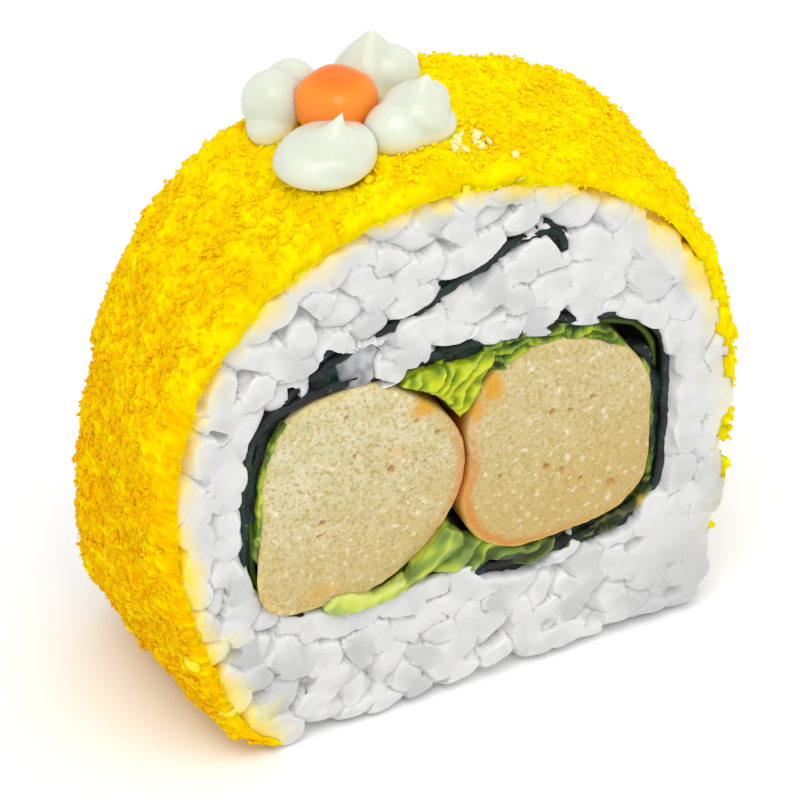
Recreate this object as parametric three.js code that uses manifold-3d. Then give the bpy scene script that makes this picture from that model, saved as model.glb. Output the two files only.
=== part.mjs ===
// One slice of a large inside-out sushi roll, lying on its flat pressed base.
// Yellow crumb coats the rice, a sheet of nori spirals through it round a lettuce leaf and
// two pale fillings, and a four-petal flower of piped cream with a sauce drop sits on top.
//
// Axes: +Z up, the cut face looks along -Y, +X to the right of it. The origin is the middle
// of the base, on the surface that the slice rests on. All sizes are in millimetres.

import * as THREE from 'three';
import * as BufferGeometryUtils from 'three/addons/utils/BufferGeometryUtils.js';
import Module from 'manifold-3d';

const wasm = await Module();
wasm.setup();

// ---------------------------------------------------------------- driving dimensions

const GAP = 0.3; // air between one piece and the next

// The knife: how thick the slice is, and how far its far face leans and slides.
const SLICE_DEPTH = 20.4;
const MID_HEIGHT = 25;
const SLICE_TOP = 50;
const WEDGE = 3.2; // thicker than SLICE_DEPTH by this at the base, and thinner at the top
const SKEW = 1.6; // how far the far face has slid to the right
const FRONT = -SLICE_DEPTH / 2;
const BACK = SLICE_DEPTH / 2;
const OVERSHOOT = 3; // how far a cutting tool runs past each face

// The rice: a mean radius round a centre, with lobes that swell it. Each pair is the swell
// towards 12 o'clock and towards 3 o'clock, for one lobe round, then two, three and so on.
const RICE_CENTRE = { x: 0, z: 18 };
const RICE_RADIUS = 27.86;
const RICE_LOBES = [[2.62, 1.01], [2.28, -1.2], [-0.15, 0.07], [-0.47, 0.04], [-0.07, -0.02]];
const RICE_STEPS = 60;
// The pressed corner low on the right, squarer than the lobes make it.
const CORNER_SWELL = 1.7;
const CORNER_ANGLE = THREE.MathUtils.degToRad(128);
const CORNER_SPREAD = THREE.MathUtils.degToRad(9);
// How much fuller the roll is at its far face than at the near one, as lobes again.
const FAR_SWELL = 0.27;
const FAR_LOBES = [[0.13, 0.09], [0.03, 0.92], [0.59, 0.01], [0.05, -0.81], [-0.12, -0.24]];

// Rice grains, as boiled and pressed together.
const GRAIN_LENGTH = 5.6;
const GRAIN_WIDTH = 3.3;
const GRAIN_THICKNESS = 2.8;
const GRAIN_SPACING = 3.5; // least distance between the middles of two grains
const GRAIN_LEAST = 0.88; // the smallest grain's size, and the largest's
const GRAIN_MOST = 1.12;
const GRAIN_RECESS = 0.55; // how far the packed core lies behind the cut face
const GRAIN_DRIFT = 0.25; // how far a grain's middle lies before or behind the core's face
const GRAIN_TILT = 0.3;
const GRAIN_FROM_RIM = 1.2; // least distance from a grain's middle to the rice's outline
const GRAIN_FROM_NORI = 1.6;
const BESIDE_BORDER = 1; // a grain this much farther from a border still lies along it
const BORDER_TURN = 0.25;
const BASE_ROW = 2.4; // grains below this height lie flat along the base
const LOWEST_GRAIN = 1;
const GRAIN_TRIES = 5000;
const GRAIN_SIDES = 5;
const GRAIN_BANDS = 3;
const GRAIN_SHAVED = 0.06; // how far face grains reach past the core's outline
const SIDE_GRAIN_PROUD = 1.4; // and how far those on the bare low right side do
const SIDE_ROWS = 2;
const SIDE_ROW_TURN = 7; // degrees from one row to the next
const SIDE_SPACING = 3.9;
const SIDE_SUNK = 0.4;
const SIDE_MARGIN = 2.2; // from the cut faces

// The nori: a ring that is squarer at two corners than at the others, and a free outer end.
const RING_CENTRE = { x: 0.5, z: 23.3 };
const RING_HALF_WIDTH = 19.45;
const RING_HALF_HEIGHT = 11.6;
const RING_SQUARENESS = 4.4;
const RING_SQUARENESS_SWING = 1.0;
const RING_STEPS = 56;
const NORI_THICKNESS = 0.6;
const NORI_SETBACK = 0.2; // how far its edges lie behind the cut faces
const FLAP_ROUTE = [
  [-17.6, 31.3], [-15.4, 34.4], [-11.9, 36.5], [-8.4, 38.1], [-3.6, 39.5],
  [0.5, 41.4], [4.4, 43.2], [8.3, 43.5], [9.7, 42.5], [10, 41.2],
];
const FLAP_STEPS = 24;

// The two fillings, each a mean radius with lobes round its own centre.
const FILLING_STEPS = 32;
// A filling's end: the share of its width, and how far behind the cut face it has that width.
const FILLING_END = [[0.5, -0.38], [0.85, -0.15], [0.97, 0.18], [1, 0.55]];
const LINING_EASE = 0.2; // the angle over which the leaf's room closes
const FILLING_LEFT = {
  x: -8.6, z: 24, radius: 10.06, lobes: [[-0.17, -0.53], [0.5, 0.04], [0.23, -0.66], [-0.07, -0.18]],
};
const FILLING_RIGHT = {
  x: 9.8, z: 23, radius: 10.02, lobes: [[-0.33, -0.21], [0.51, -0.3], [0.23, -0.25], [-0.36, -0.13]],
};

// The lettuce leaf: it lines the nori from LEAF_FROM clockwise to LEAF_TO (angles from
// 12 o'clock about the ring's centre) and folds into the notches between the fillings.
const LEAF_THICKNESS = 0.6;
const LEAF_FROM = THREE.MathUtils.degToRad(-24);
const LEAF_TO = THREE.MathUtils.degToRad(290);
const LEAF_STEPS = 44;
const LEAF_ROWS = 2;
const LEAF_WAVES = 17;
const LEAF_WAVE_DEPTH = 0.55; // how far the cut edge of the leaf waves in and out
const PLEAT_THICKNESS = 0.9;
const PLEAT_TAPER = 0.4; // how much thinner it is at its tip, as a share
const PLEAT_WAVE = 0.35;
const PLEAT_ROWS = 3;
const PLEAT_STEPS = 3;
const PLEATS = [
  { from: [-4.4, 34.2], to: [-1.5, 31.6] },
  { from: [-1.2, 34.4], to: [0.1, 29.8] },
  { from: [2.8, 34.2], to: [1.6, 31.6] },
  { from: [-5.2, 12.4], to: [-3.2, 15.3] },
  { from: [-2, 12.2], to: [-0.9, 17.4] },
  { from: [1.6, 12.4], to: [0.9, 15] },
];
const WAD_SETBACK = 1.6; // how far the packed middle of the leaf lies behind the cut faces
const WADS = [
  [[-5.4, 34.3], [3.9, 34.3], [1.9, 31], [0.1, 28.4], [-1.8, 31]],
  [[-6.2, 12.2], [-3.4, 15.4], [-0.8, 18.6], [1.3, 15.4], [3.4, 12.2]],
];

// The crumb coating: a shell that ends low on the left and leaves the rice bare low on the
// right. Angles are from 12 o'clock about the rice's centre.
const COAT_THICKNESS = 1.25;
const COAT_LOBES = [[0.6, -0.6]]; // thickest at the upper left
const COAT_LEAST = 0.8;
const COAT_BULGE = 0.5; // thicker than that by this, halfway between the two cut faces
const COAT_FROM = THREE.MathUtils.degToRad(-136);
const COAT_TO = THREE.MathUtils.degToRad(112);
const COAT_FOOT = 1; // how high above the surface it ends on the left
const COAT_STEPS = 82;
const COAT_ROWS = 13;
const COAT_RIM = 0.6; // how much thinner it is at its cut edges
const COAT_RIM_DEPTH = 1.2;
const CRUMB_RELIEF = 0.42;
const CRUMB_SHIFT = 0.3; // how far a bump strays, as a share of the step between bumps
const RAGGED_EDGE = 0.35;
const PATCHY_EDGE = 2.4; // extra raggedness low on the right
const PATCHY_FROM = THREE.MathUtils.degToRad(70);

// The flower on top. at is the middle of a dollop's foot as seen from above, and peak is how
// far its tip is pulled sideways from there, and its height above the coating.
const FLOWER_CENTRE = { x: -5, y: -0.6 };
const FLOWER_RADIUS = 10;
const DOLLOP_SIDES = 14;
const DOLLOP_BANDS = 9;
const DOLLOP_SUNK = 0.3; // the share of its height that is below the seat
const TIP_FROM = 0.72; // how far up a dollop its tip starts, from -1 at the foot to 1
const TIP_SLIM = 0.45;
const PETALS = [
  { name: 'cream_front', at: [-9, -4.9], size: [8.2, 7, 5.2], turn: -28, peak: [1.6, 0, 4.9] },
  { name: 'cream_right', at: [-0.6, -3.9], size: [7.6, 6.8, 5.4], turn: 20, peak: [1.3, 0.4, 5] },
  { name: 'cream_left', at: [-9, 2.8], size: [6.6, 6.2, 5.4], turn: 0, peak: [0.8, -0.2, 4] },
  { name: 'cream_back', at: [-0.9, 3], size: [6.9, 6.2, 5.2], turn: 30, peak: [-0.2, 0.1, 5] },
];
const SAUCE_DROP = { at: [-5, -0.3], size: [7, 7, 4.4], turn: 0, peak: [0, 0, 3.1] };

// ---------------------------------------------------------------- small helpers

// A repeatable source of chance: the same seed always gives the same numbers.
function dice(seed) {
  let state = seed >>> 0;
  return () => {
    state = (state + 0x6d2b79f5) >>> 0;
    let mixed = Math.imul(state ^ (state >>> 15), state | 1);
    mixed ^= mixed + Math.imul(mixed ^ (mixed >>> 7), mixed | 61);
    return ((mixed ^ (mixed >>> 14)) >>> 0) / 4294967296;
  };
}

const { lerp, smoothstep } = THREE.MathUtils;

function solid(geometry) {
  const bare = geometry.clone();
  bare.deleteAttribute('normal');
  bare.deleteAttribute('uv');
  const merged = BufferGeometryUtils.mergeVertices(bare);
  const vertProperties = Float32Array.from(merged.attributes.position.array);
  const triVerts = Uint32Array.from(merged.index.array);
  return new wasm.Manifold(new wasm.Mesh({ numProp: 3, vertProperties, triVerts }));
}

function geometryOf(manifold) {
  const mesh = manifold.getMesh();
  const geometry = new THREE.BufferGeometry();
  geometry.setAttribute('position', new THREE.BufferAttribute(mesh.vertProperties, 3));
  geometry.setIndex(new THREE.BufferAttribute(mesh.triVerts, 1));
  geometry.computeVertexNormals();
  return geometry;
}

// Everything under a given height, as a cutting tool.
function below(height) {
  const reach = 120;
  const block = new THREE.BoxGeometry(reach, reach, reach);
  block.translate(0, 0, height - reach / 2);
  return solid(block);
}

// A straight bar through the slice from a closed outline of (x, z) points.
function bar(outline, front, back, hole) {
  const shape = new THREE.Shape(outline);
  if (hole) shape.holes.push(new THREE.Path(hole));
  const geometry = new THREE.ExtrudeGeometry(shape, { depth: back - front, bevelEnabled: false });
  geometry.rotateX(Math.PI / 2);
  geometry.translate(0, back, 0);
  return solid(geometry);
}

// A closed skin through rows of closed loops, capped at both ends and facing out.
function loft(loops) {
  const count = loops[0].length;
  const corners = loops.flat();
  const faces = [];
  for (let row = 0; row + 1 < loops.length; row += 1) {
    for (let i = 0; i < count; i += 1) {
      const a = row * count + i;
      const b = row * count + ((i + 1) % count);
      faces.push(a, b, b + count, a, b + count, a + count);
    }
  }
  const last = (loops.length - 1) * count;
  for (const [first, flip] of [[0, true], [last, false]]) {
    const middle = corners.length;
    const centre = new THREE.Vector3();
    for (let i = 0; i < count; i += 1) centre.addScaledVector(corners[first + i], 1 / count);
    corners.push(centre);
    for (let i = 0; i < count; i += 1) {
      const a = first + i;
      const b = first + ((i + 1) % count);
      if (flip) faces.push(middle, b, a);
      else faces.push(middle, a, b);
    }
  }
  let volume = 0;
  for (let i = 0; i < faces.length; i += 3) {
    const [a, b, c] = faces.slice(i, i + 3).map((corner) => corners[corner]);
    volume += a.dot(b.clone().cross(c));
  }
  if (volume < 0) faces.reverse();
  const geometry = new THREE.BufferGeometry().setFromPoints(corners);
  geometry.setIndex(faces);
  return geometry;
}

// The knife's lean: it turns a straight bar into the slanted, wedge-shaped slice.
function lean(geometry) {
  const position = geometry.attributes.position;
  for (let i = 0; i < position.count; i += 1) {
    const share = depthShare(position.getY(i));
    const height = position.getZ(i);
    const depth = SLICE_DEPTH + (WEDGE * (MID_HEIGHT - height)) / MID_HEIGHT;
    position.setX(i, position.getX(i) + SKEW * share);
    position.setY(i, FRONT + share * depth);
  }
  geometry.computeVertexNormals();
  return geometry;
}

// ---------------------------------------------------------------- outlines

function lobedRadius(angle, radius, lobes) {
  let total = radius;
  lobes.forEach(([up, right], i) => {
    total += up * Math.cos((i + 1) * angle) + right * Math.sin((i + 1) * angle);
  });
  return total;
}

function polar(centre, angle, radius) {
  return new THREE.Vector2(centre.x + radius * Math.sin(angle), centre.z + radius * Math.cos(angle));
}

function closedOutline(steps, pointAt) {
  const points = [];
  for (let i = 0; i < steps; i += 1) points.push(pointAt((-2 * Math.PI * i) / steps));
  return points;
}

// How far through the slice y lies: 0 at the near face, 1 at the far one.
function depthShare(y) {
  return (y - FRONT) / SLICE_DEPTH;
}

function riceRadius(angle, y = FRONT) {
  const turn = Math.atan2(Math.sin(angle - CORNER_ANGLE), Math.cos(angle - CORNER_ANGLE));
  const corner = CORNER_SWELL * Math.exp(-((turn / CORNER_SPREAD) ** 2));
  const farther = depthShare(y) * lobedRadius(angle, FAR_SWELL, FAR_LOBES);
  return lobedRadius(angle, RICE_RADIUS, RICE_LOBES) + corner + farther;
}

// A loop round the roll at depth y, at a distance outside the rice that may vary.
function rollLoop(y, outside) {
  return closedOutline(RICE_STEPS, (angle) => {
    return polar(RICE_CENTRE, angle, riceRadius(angle, y) + outside(angle));
  }).map((point) => new THREE.Vector3(point.x, y, point.y));
}

function ringRadius(angle) {
  const across = Math.abs(Math.sin(angle)) / RING_HALF_WIDTH;
  const upward = Math.abs(Math.cos(angle)) / RING_HALF_HEIGHT;
  const power = RING_SQUARENESS - RING_SQUARENESS_SWING * Math.sin(2 * angle);
  return (across ** power + upward ** power) ** (-1 / power);
}

// A point that lies a given distance outside the middle of the nori ring.
function ringPoint(angle, outward) {
  const step = 0.01;
  const before = polar(RING_CENTRE, angle - step, ringRadius(angle - step));
  const after = polar(RING_CENTRE, angle + step, ringRadius(angle + step));
  const along = after.sub(before).normalize();
  const point = polar(RING_CENTRE, angle, ringRadius(angle));
  return point.add(new THREE.Vector2(-along.y, along.x).multiplyScalar(outward));
}

function ringOutline(outward) {
  return closedOutline(RING_STEPS, (angle) => ringPoint(angle, outward));
}

function flapOutline(halfThickness, pastEnd) {
  const route = new THREE.CatmullRomCurve3(FLAP_ROUTE.map(([x, z]) => new THREE.Vector3(x, z, 0)));
  const near = [];
  const far = [];
  for (let i = 0; i <= FLAP_STEPS; i += 1) {
    const share = i / FLAP_STEPS;
    const point = route.getPointAt(share);
    const along = route.getTangentAt(share);
    if (i === FLAP_STEPS) point.addScaledVector(along, pastEnd);
    near.push(new THREE.Vector2(point.x + along.y * halfThickness, point.y - along.x * halfThickness));
    far.push(new THREE.Vector2(point.x - along.y * halfThickness, point.y + along.x * halfThickness));
  }
  return near.concat(far.reverse());
}

// ---------------------------------------------------------------- fillings

// How far inside the nori the fillings stop: a leaf's room where the leaf runs, and only a
// gap at the upper left, where there is no leaf.
function liningDepth(angle) {
  const turn = ((angle - LEAF_TO) % (2 * Math.PI) + 2 * Math.PI) % (2 * Math.PI);
  const open = LEAF_FROM + 2 * Math.PI - LEAF_TO;
  const bare = smoothstep(turn, 0, LINING_EASE) * (1 - smoothstep(turn, open - LINING_EASE, open));
  return GAP + (1 - bare) * (LEAF_THICKNESS + GAP);
}

// A soft rod through the slice with gently domed ends. Grown by margin, it is the tool that
// cuts its neighbours clear of it.
function fillingRod(filling, margin) {
  const near = FILLING_END.map(([share, inset]) => [share, FRONT + inset - margin]);
  const far = FILLING_END.map(([share, inset]) => [share, BACK - inset + margin]);
  const sections = near.concat(far.reverse());
  const loops = sections.map(([share, y]) => closedOutline(FILLING_STEPS, (angle) => {
    const radius = lobedRadius(angle, filling.radius, filling.lobes) + margin;
    return polar(filling, angle, radius * share);
  }).map((point) => new THREE.Vector3(point.x, y, point.y)));
  return solid(loft(loops));
}

const fillingSpace = bar(
  closedOutline(RING_STEPS, (angle) => ringPoint(angle, -NORI_THICKNESS / 2 - liningDepth(angle))),
  FRONT - OVERSHOOT,
  BACK + OVERSHOOT,
);

function makeFillings() {
  const left = fillingRod(FILLING_LEFT, 0).intersect(fillingSpace);
  const right = fillingRod(FILLING_RIGHT, 0).intersect(fillingSpace);
  return { left, right: right.subtract(fillingRod(FILLING_LEFT, GAP)) };
}

// ---------------------------------------------------------------- lettuce

// The leaf's lining of the nori: rows from front to back, waving most at the cut edges.
function leafLining() {
  const outer = -NORI_THICKNESS / 2 - GAP;
  const loops = [];
  for (let i = 0; i <= LEAF_STEPS; i += 1) {
    const angle = lerp(LEAF_FROM, LEAF_TO, i / LEAF_STEPS);
    const wave = Math.sin((LEAF_WAVES * Math.PI * i) / LEAF_STEPS + 0.8 * Math.sin(i));
    const loop = [];
    for (const [face, rows] of [[outer, 1], [outer - LEAF_THICKNESS, -1]]) {
      for (let j = 0; j <= LEAF_ROWS; j += 1) {
        const share = rows > 0 ? j / LEAF_ROWS : 1 - j / LEAF_ROWS;
        const edge = Math.abs(2 * share - 1) ** LEAF_ROWS;
        const point = ringPoint(angle, face);
        const y = lerp(FRONT, BACK, share) + Math.sign(share - 0.5) * edge * wave * LEAF_WAVE_DEPTH;
        loop.push(new THREE.Vector3(point.x, y, point.y));
      }
    }
    loops.push(loop);
  }
  return solid(loft(loops));
}

// One pleat of the leaf: a thin wavy sheet from the lining into a notch.
function pleat({ from, to }) {
  const start = new THREE.Vector2(...from);
  const end = new THREE.Vector2(...to);
  const side = end.clone().sub(start).normalize();
  side.set(side.y, -side.x);
  const loops = [];
  for (let i = 0; i <= PLEAT_STEPS; i += 1) {
    const down = i / PLEAT_STEPS;
    const loop = [];
    for (const face of [0.5, -0.5]) {
      for (let j = 0; j <= PLEAT_ROWS; j += 1) {
        const share = face > 0 ? j / PLEAT_ROWS : 1 - j / PLEAT_ROWS;
        const wave = PLEAT_WAVE * Math.sin(3 * Math.PI * down + 5 * share + from[0]);
        const point = start.clone().lerp(end, down);
        point.addScaledVector(side, face * PLEAT_THICKNESS * (1 - PLEAT_TAPER * down) + wave * down);
        const swell = PLEAT_WAVE * Math.sin(2.5 * Math.PI * down + from[0]) * (2 * share - 1);
        loop.push(new THREE.Vector3(point.x, lerp(FRONT, BACK, share) + swell, point.y));
      }
    }
    loops.push(loop);
  }
  return solid(loft(loops));
}

// The rest of the leaf, pressed into each notch behind the pleats.
function wad(corners) {
  return bar(corners.map(([x, z]) => new THREE.Vector2(x, z)), FRONT + WAD_SETBACK, BACK - WAD_SETBACK);
}

function makeLettuce() {
  let folds = wad(WADS[0]).add(wad(WADS[1]));
  for (const fold of PLEATS) folds = folds.add(pleat(fold));
  const roots = -NORI_THICKNESS / 2 - GAP - LEAF_THICKNESS / 3;
  const room = bar(ringOutline(roots), FRONT - OVERSHOOT, BACK + OVERSHOOT);
  folds = folds.intersect(room);
  for (const filling of [FILLING_LEFT, FILLING_RIGHT]) folds = folds.subtract(fillingRod(filling, GAP));
  return leafLining().add(folds);
}

// ---------------------------------------------------------------- nori

function makeNori() {
  const front = FRONT + NORI_SETBACK;
  const back = BACK - NORI_SETBACK;
  const half = NORI_THICKNESS / 2;
  const ring = bar(ringOutline(half), front, back, ringOutline(-half));
  const core = bar(ringOutline(-half), front - GAP, back + GAP);
  return ring.add(bar(flapOutline(half, 0), front, back).subtract(core));
}

// ---------------------------------------------------------------- rice

function nearestOn(outline, x, z) {
  let best = Infinity;
  let heading = 0;
  outline.forEach((point, i) => {
    const distance = Math.hypot(point.x - x, point.y - z);
    if (distance < best) {
      const next = outline[(i + 1) % outline.length];
      best = distance;
      heading = Math.atan2(next.y - point.y, next.x - point.x);
    }
  });
  return { distance: best, heading };
}

// Where grains show on a cut face: spread evenly by chance, each turned along a border that
// it lies against and otherwise any way.
function grainPlaces(y, seed) {
  const chance = dice(seed);
  const rim = rollLoop(y, () => 0).map((corner) => new THREE.Vector2(corner.x, corner.z));
  const borders = [
    { outline: rim, room: GRAIN_FROM_RIM },
    { outline: ringOutline(NORI_THICKNESS / 2), room: GRAIN_FROM_NORI },
    { outline: flapOutline(NORI_THICKNESS / 2, 0), room: GRAIN_FROM_NORI },
  ];
  const places = [];
  for (let i = 0; i < GRAIN_TRIES; i += 1) {
    const angle = chance() * 2 * Math.PI;
    const reach = Math.sqrt(chance());
    const point = polar(RICE_CENTRE, angle, reach * riceRadius(angle, y));
    const inRing = Math.hypot(point.x - RING_CENTRE.x, point.y - RING_CENTRE.z)
      < ringRadius(Math.atan2(point.x - RING_CENTRE.x, point.y - RING_CENTRE.z));
    let heading = chance() * Math.PI;
    let clear = point.y > LOWEST_GRAIN && !inRing;
    for (const border of borders) {
      const near = nearestOn(border.outline, point.x, point.y);
      if (near.distance < border.room) clear = false;
      if (near.distance > border.room + BESIDE_BORDER) continue;
      heading = near.heading + BORDER_TURN * (2 * chance() - 1);
    }
    if (point.y < BASE_ROW) heading = BORDER_TURN * (2 * chance() - 1);
    const spaced = places.every((p) => Math.hypot(p.x - point.x, p.z - point.y) > GRAIN_SPACING);
    if (clear && spaced) places.push({ x: point.x, z: point.y, heading });
  }
  return places;
}

function grain(centre, along, roll, size) {
  const geometry = new THREE.SphereGeometry(0.5, GRAIN_SIDES, GRAIN_BANDS);
  geometry.scale(GRAIN_WIDTH * size, GRAIN_LENGTH * size, GRAIN_THICKNESS * size);
  geometry.rotateY(roll);
  const turn = new THREE.Quaternion().setFromUnitVectors(new THREE.Vector3(0, 1, 0), along.normalize());
  geometry.applyQuaternion(turn);
  geometry.translate(centre.x, centre.y, centre.z);
  return solid(geometry);
}

function faceGrains(y, seed) {
  const chance = dice(seed + 1);
  return grainPlaces(y, seed).map(({ x, z, heading }) => {
    const tilt = GRAIN_TILT * (2 * chance() - 1);
    const along = new THREE.Vector3(Math.cos(heading), Math.sin(tilt), Math.sin(heading));
    const centre = new THREE.Vector3(x, y + GRAIN_DRIFT * (2 * chance() - 1), z);
    return grain(centre, along, chance() * Math.PI, lerp(GRAIN_LEAST, GRAIN_MOST, chance()));
  });
}

// Grains on the low right side, where the coating has come away.
function sideGrains(seed) {
  const chance = dice(seed);
  const grains = [];
  for (let row = 0; row < SIDE_ROWS; row += 1) {
    for (let y = FRONT + SIDE_MARGIN; y < BACK - SIDE_MARGIN; y += SIDE_SPACING) {
      const angle = COAT_TO + THREE.MathUtils.degToRad(SIDE_ROW_TURN * (row + 0.7 + 0.25 * chance()));
      const point = polar(RICE_CENTRE, angle, riceRadius(angle, y) - SIDE_SUNK);
      const centre = new THREE.Vector3(point.x, y + row * chance(), point.y);
      const along = new THREE.Vector3(0, 1, chance() - 0.5);
      grains.push(grain(centre, along, chance() * Math.PI, GRAIN_LEAST));
    }
  }
  return grains;
}

// How far grains may stand out past the packed core: a hair under the coating, and freely
// where the rice is bare of it.
function grainRoom(angle) {
  const turn = Math.atan2(Math.sin(angle), Math.cos(angle));
  return lerp(GRAIN_SHAVED, SIDE_GRAIN_PROUD, smoothstep(turn, COAT_TO + 0.02, COAT_TO + 0.1));
}

function makeRice() {
  const coreFront = FRONT + GRAIN_RECESS;
  const coreBack = BACK - GRAIN_RECESS;
  let rice = solid(loft([rollLoop(coreFront, () => 0), rollLoop(coreBack, () => 0)]));
  const grains = [...faceGrains(coreFront, 11), ...faceGrains(coreBack, 23), ...sideGrains(37)];
  for (const piece of grains) rice = rice.add(piece);
  const limit = loft([rollLoop(FRONT - OVERSHOOT, grainRoom), rollLoop(BACK + OVERSHOOT, grainRoom)]);
  const ringHole = bar(ringOutline(NORI_THICKNESS / 2 + GAP), FRONT - OVERSHOOT, BACK + OVERSHOOT);
  const slot = bar(flapOutline(NORI_THICKNESS / 2 + GAP, GAP), FRONT - OVERSHOOT, BACK + OVERSHOOT);
  return rice.intersect(solid(limit)).subtract(ringHole).subtract(slot).subtract(below(0));
}

// ---------------------------------------------------------------- coating

function coatThickness(angle, y) {
  const share = THREE.MathUtils.clamp(depthShare(y), 0, 1);
  const rolled = Math.max(lobedRadius(angle, COAT_THICKNESS, COAT_LOBES), COAT_LEAST);
  return rolled + COAT_BULGE * 4 * share * (1 - share);
}

// The whole coated roll with a smooth skin grown by margin, for cutting the flower's feet.
function coatedBar(margin) {
  const loops = [];
  for (let row = 0; row <= COAT_ROWS; row += 1) {
    const y = lerp(FRONT - 1, BACK + 1, row / COAT_ROWS);
    loops.push(rollLoop(y, (angle) => coatThickness(angle, y) + margin));
  }
  return loft(loops);
}

// The height of the smooth coating at a place on top, found by closing in on its angle.
function coatTop(x, y) {
  const straightX = x - SKEW * depthShare(y);
  let height = SLICE_TOP;
  for (let i = 0; i < 4; i += 1) {
    const angle = Math.atan2(straightX - RICE_CENTRE.x, height - RICE_CENTRE.z);
    height = polar(RICE_CENTRE, angle, riceRadius(angle, y) + coatThickness(angle, y)).y;
  }
  return height;
}

// 0 under the flower, where the crumb is pressed flat, and 1 away from it.
function freeOfFlower(point, y) {
  if (point.y < MID_HEIGHT) return 1;
  const x = point.x + SKEW * depthShare(y);
  const away = Math.hypot(x - FLOWER_CENTRE.x, y - FLOWER_CENTRE.y);
  return smoothstep(away, FLOWER_RADIUS - 2, FLOWER_RADIUS);
}

function makeCoating() {
  const chance = dice(5);
  const stray = () => CRUMB_SHIFT * (2 * chance() - 1);
  const step = (COAT_TO - COAT_FROM) / COAT_STEPS;
  const loops = [];
  for (let i = 0; i <= COAT_STEPS; i += 1) {
    const angle = lerp(COAT_FROM, COAT_TO, i / COAT_STEPS);
    const ragged = RAGGED_EDGE + PATCHY_EDGE * smoothstep(angle, PATCHY_FROM, COAT_TO);
    const front = FRONT + ragged * chance();
    const back = BACK - ragged * chance();
    const loop = [];
    for (let j = 0; j <= COAT_ROWS; j += 1) {
      const atRim = j === 0 || j === COAT_ROWS;
      const y = lerp(front, back, (j + (atRim ? 0 : stray())) / COAT_ROWS);
      const turn = angle + (atRim ? 0 : step * stray());
      const nominal = polar(RICE_CENTRE, turn, riceRadius(turn, y) + coatThickness(turn, y));
      const free = freeOfFlower(nominal, y);
      const rim = COAT_RIM * (1 - smoothstep(Math.min(y - front, back - y), 0, COAT_RIM_DEPTH));
      const relief = free * (CRUMB_RELIEF * (2 * chance() - 1) - rim);
      const outside = Math.max(coatThickness(turn, y) + relief, COAT_LEAST);
      const point = polar(RICE_CENTRE, turn, riceRadius(turn, y) + outside);
      loop.push(new THREE.Vector3(point.x, y, point.y));
    }
    for (const y of [back, front]) {
      const point = polar(RICE_CENTRE, angle, riceRadius(angle, y) + GAP);
      loop.push(new THREE.Vector3(point.x, y, point.y));
    }
    loops.push(loop);
  }
  return solid(loft(loops)).subtract(below(COAT_FOOT));
}

// ---------------------------------------------------------------- flower

// A soft piped dollop: a ball sunk a little into its seat, with its crown drawn out into a
// small tip. size is its width, depth and height, and margin grows it into a cutting tool.
function dollop({ at, size, turn, peak }, margin) {
  const geometry = new THREE.SphereGeometry(0.5, DOLLOP_SIDES, DOLLOP_BANDS);
  geometry.rotateX(Math.PI / 2);
  const [width, depth, height] = size.map((length) => length + 2 * margin);
  geometry.scale(width, depth, height);
  geometry.rotateZ(THREE.MathUtils.degToRad(turn));
  const sunk = DOLLOP_SUNK * size[2];
  const crown = size[2] - sunk;
  const seat = coatTop(...at);
  const position = geometry.attributes.position;
  for (let i = 0; i < position.count; i += 1) {
    const up = position.getZ(i) / (height / 2);
    const pull = smoothstep(up, TIP_FROM, 1);
    const slim = 1 - TIP_SLIM * pull;
    position.setXYZ(
      i,
      at[0] + position.getX(i) * slim + peak[0] * pull,
      at[1] + position.getY(i) * slim + peak[1] * pull,
      seat + size[2] / 2 - sunk + position.getZ(i) + (peak[2] - crown) * pull,
    );
  }
  return geometry;
}

function makeFlower() {
  const seat = solid(lean(coatedBar(GAP)));
  const pieces = {};
  const done = [];
  for (const petal of PETALS) {
    let cream = solid(dollop(petal, 0)).subtract(seat);
    for (const other of done) cream = cream.subtract(solid(dollop(other, GAP)));
    done.push(petal);
    pieces[petal.name] = cream;
  }
  let drop = solid(dollop(SAUCE_DROP, 0)).subtract(seat);
  for (const petal of PETALS) drop = drop.subtract(solid(dollop(petal, GAP)));
  pieces.sauce_drop = drop;
  return pieces;
}

// ---------------------------------------------------------------- the slice

const FINISH = {
  rice: { color: 0xe9e9e6, roughness: 0.5 },
  nori: { color: 0x14201c, roughness: 0.55 },
  lettuce: { color: 0x86a92a, roughness: 0.45 },
  filling: { color: 0xd9cc9c, roughness: 0.6 },
  coating: { color: 0xffd200, roughness: 0.6 },
  cream: { color: 0xf3f4ec, roughness: 0.25 },
  sauce: { color: 0xff7c1f, roughness: 0.15 },
};

const slice = new THREE.Group();

function addPiece(name, geometry, finish) {
  const material = new THREE.MeshStandardMaterial({ ...FINISH[finish], metalness: 0 });
  const mesh = new THREE.Mesh(geometry, material);
  mesh.name = name;
  slice.add(mesh);
}

const fillings = makeFillings();
addPiece('rice', lean(geometryOf(makeRice())), 'rice');
addPiece('nori', lean(geometryOf(makeNori())), 'nori');
addPiece('lettuce', lean(geometryOf(makeLettuce())), 'lettuce');
addPiece('filling_left', lean(geometryOf(fillings.left)), 'filling');
addPiece('filling_right', lean(geometryOf(fillings.right)), 'filling');
addPiece('coating', lean(geometryOf(makeCoating())), 'coating');
for (const [name, piece] of Object.entries(makeFlower())) {
  addPiece(name, geometryOf(piece), name.startsWith('cream') ? 'cream' : 'sauce');
}

export default slice;
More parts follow.
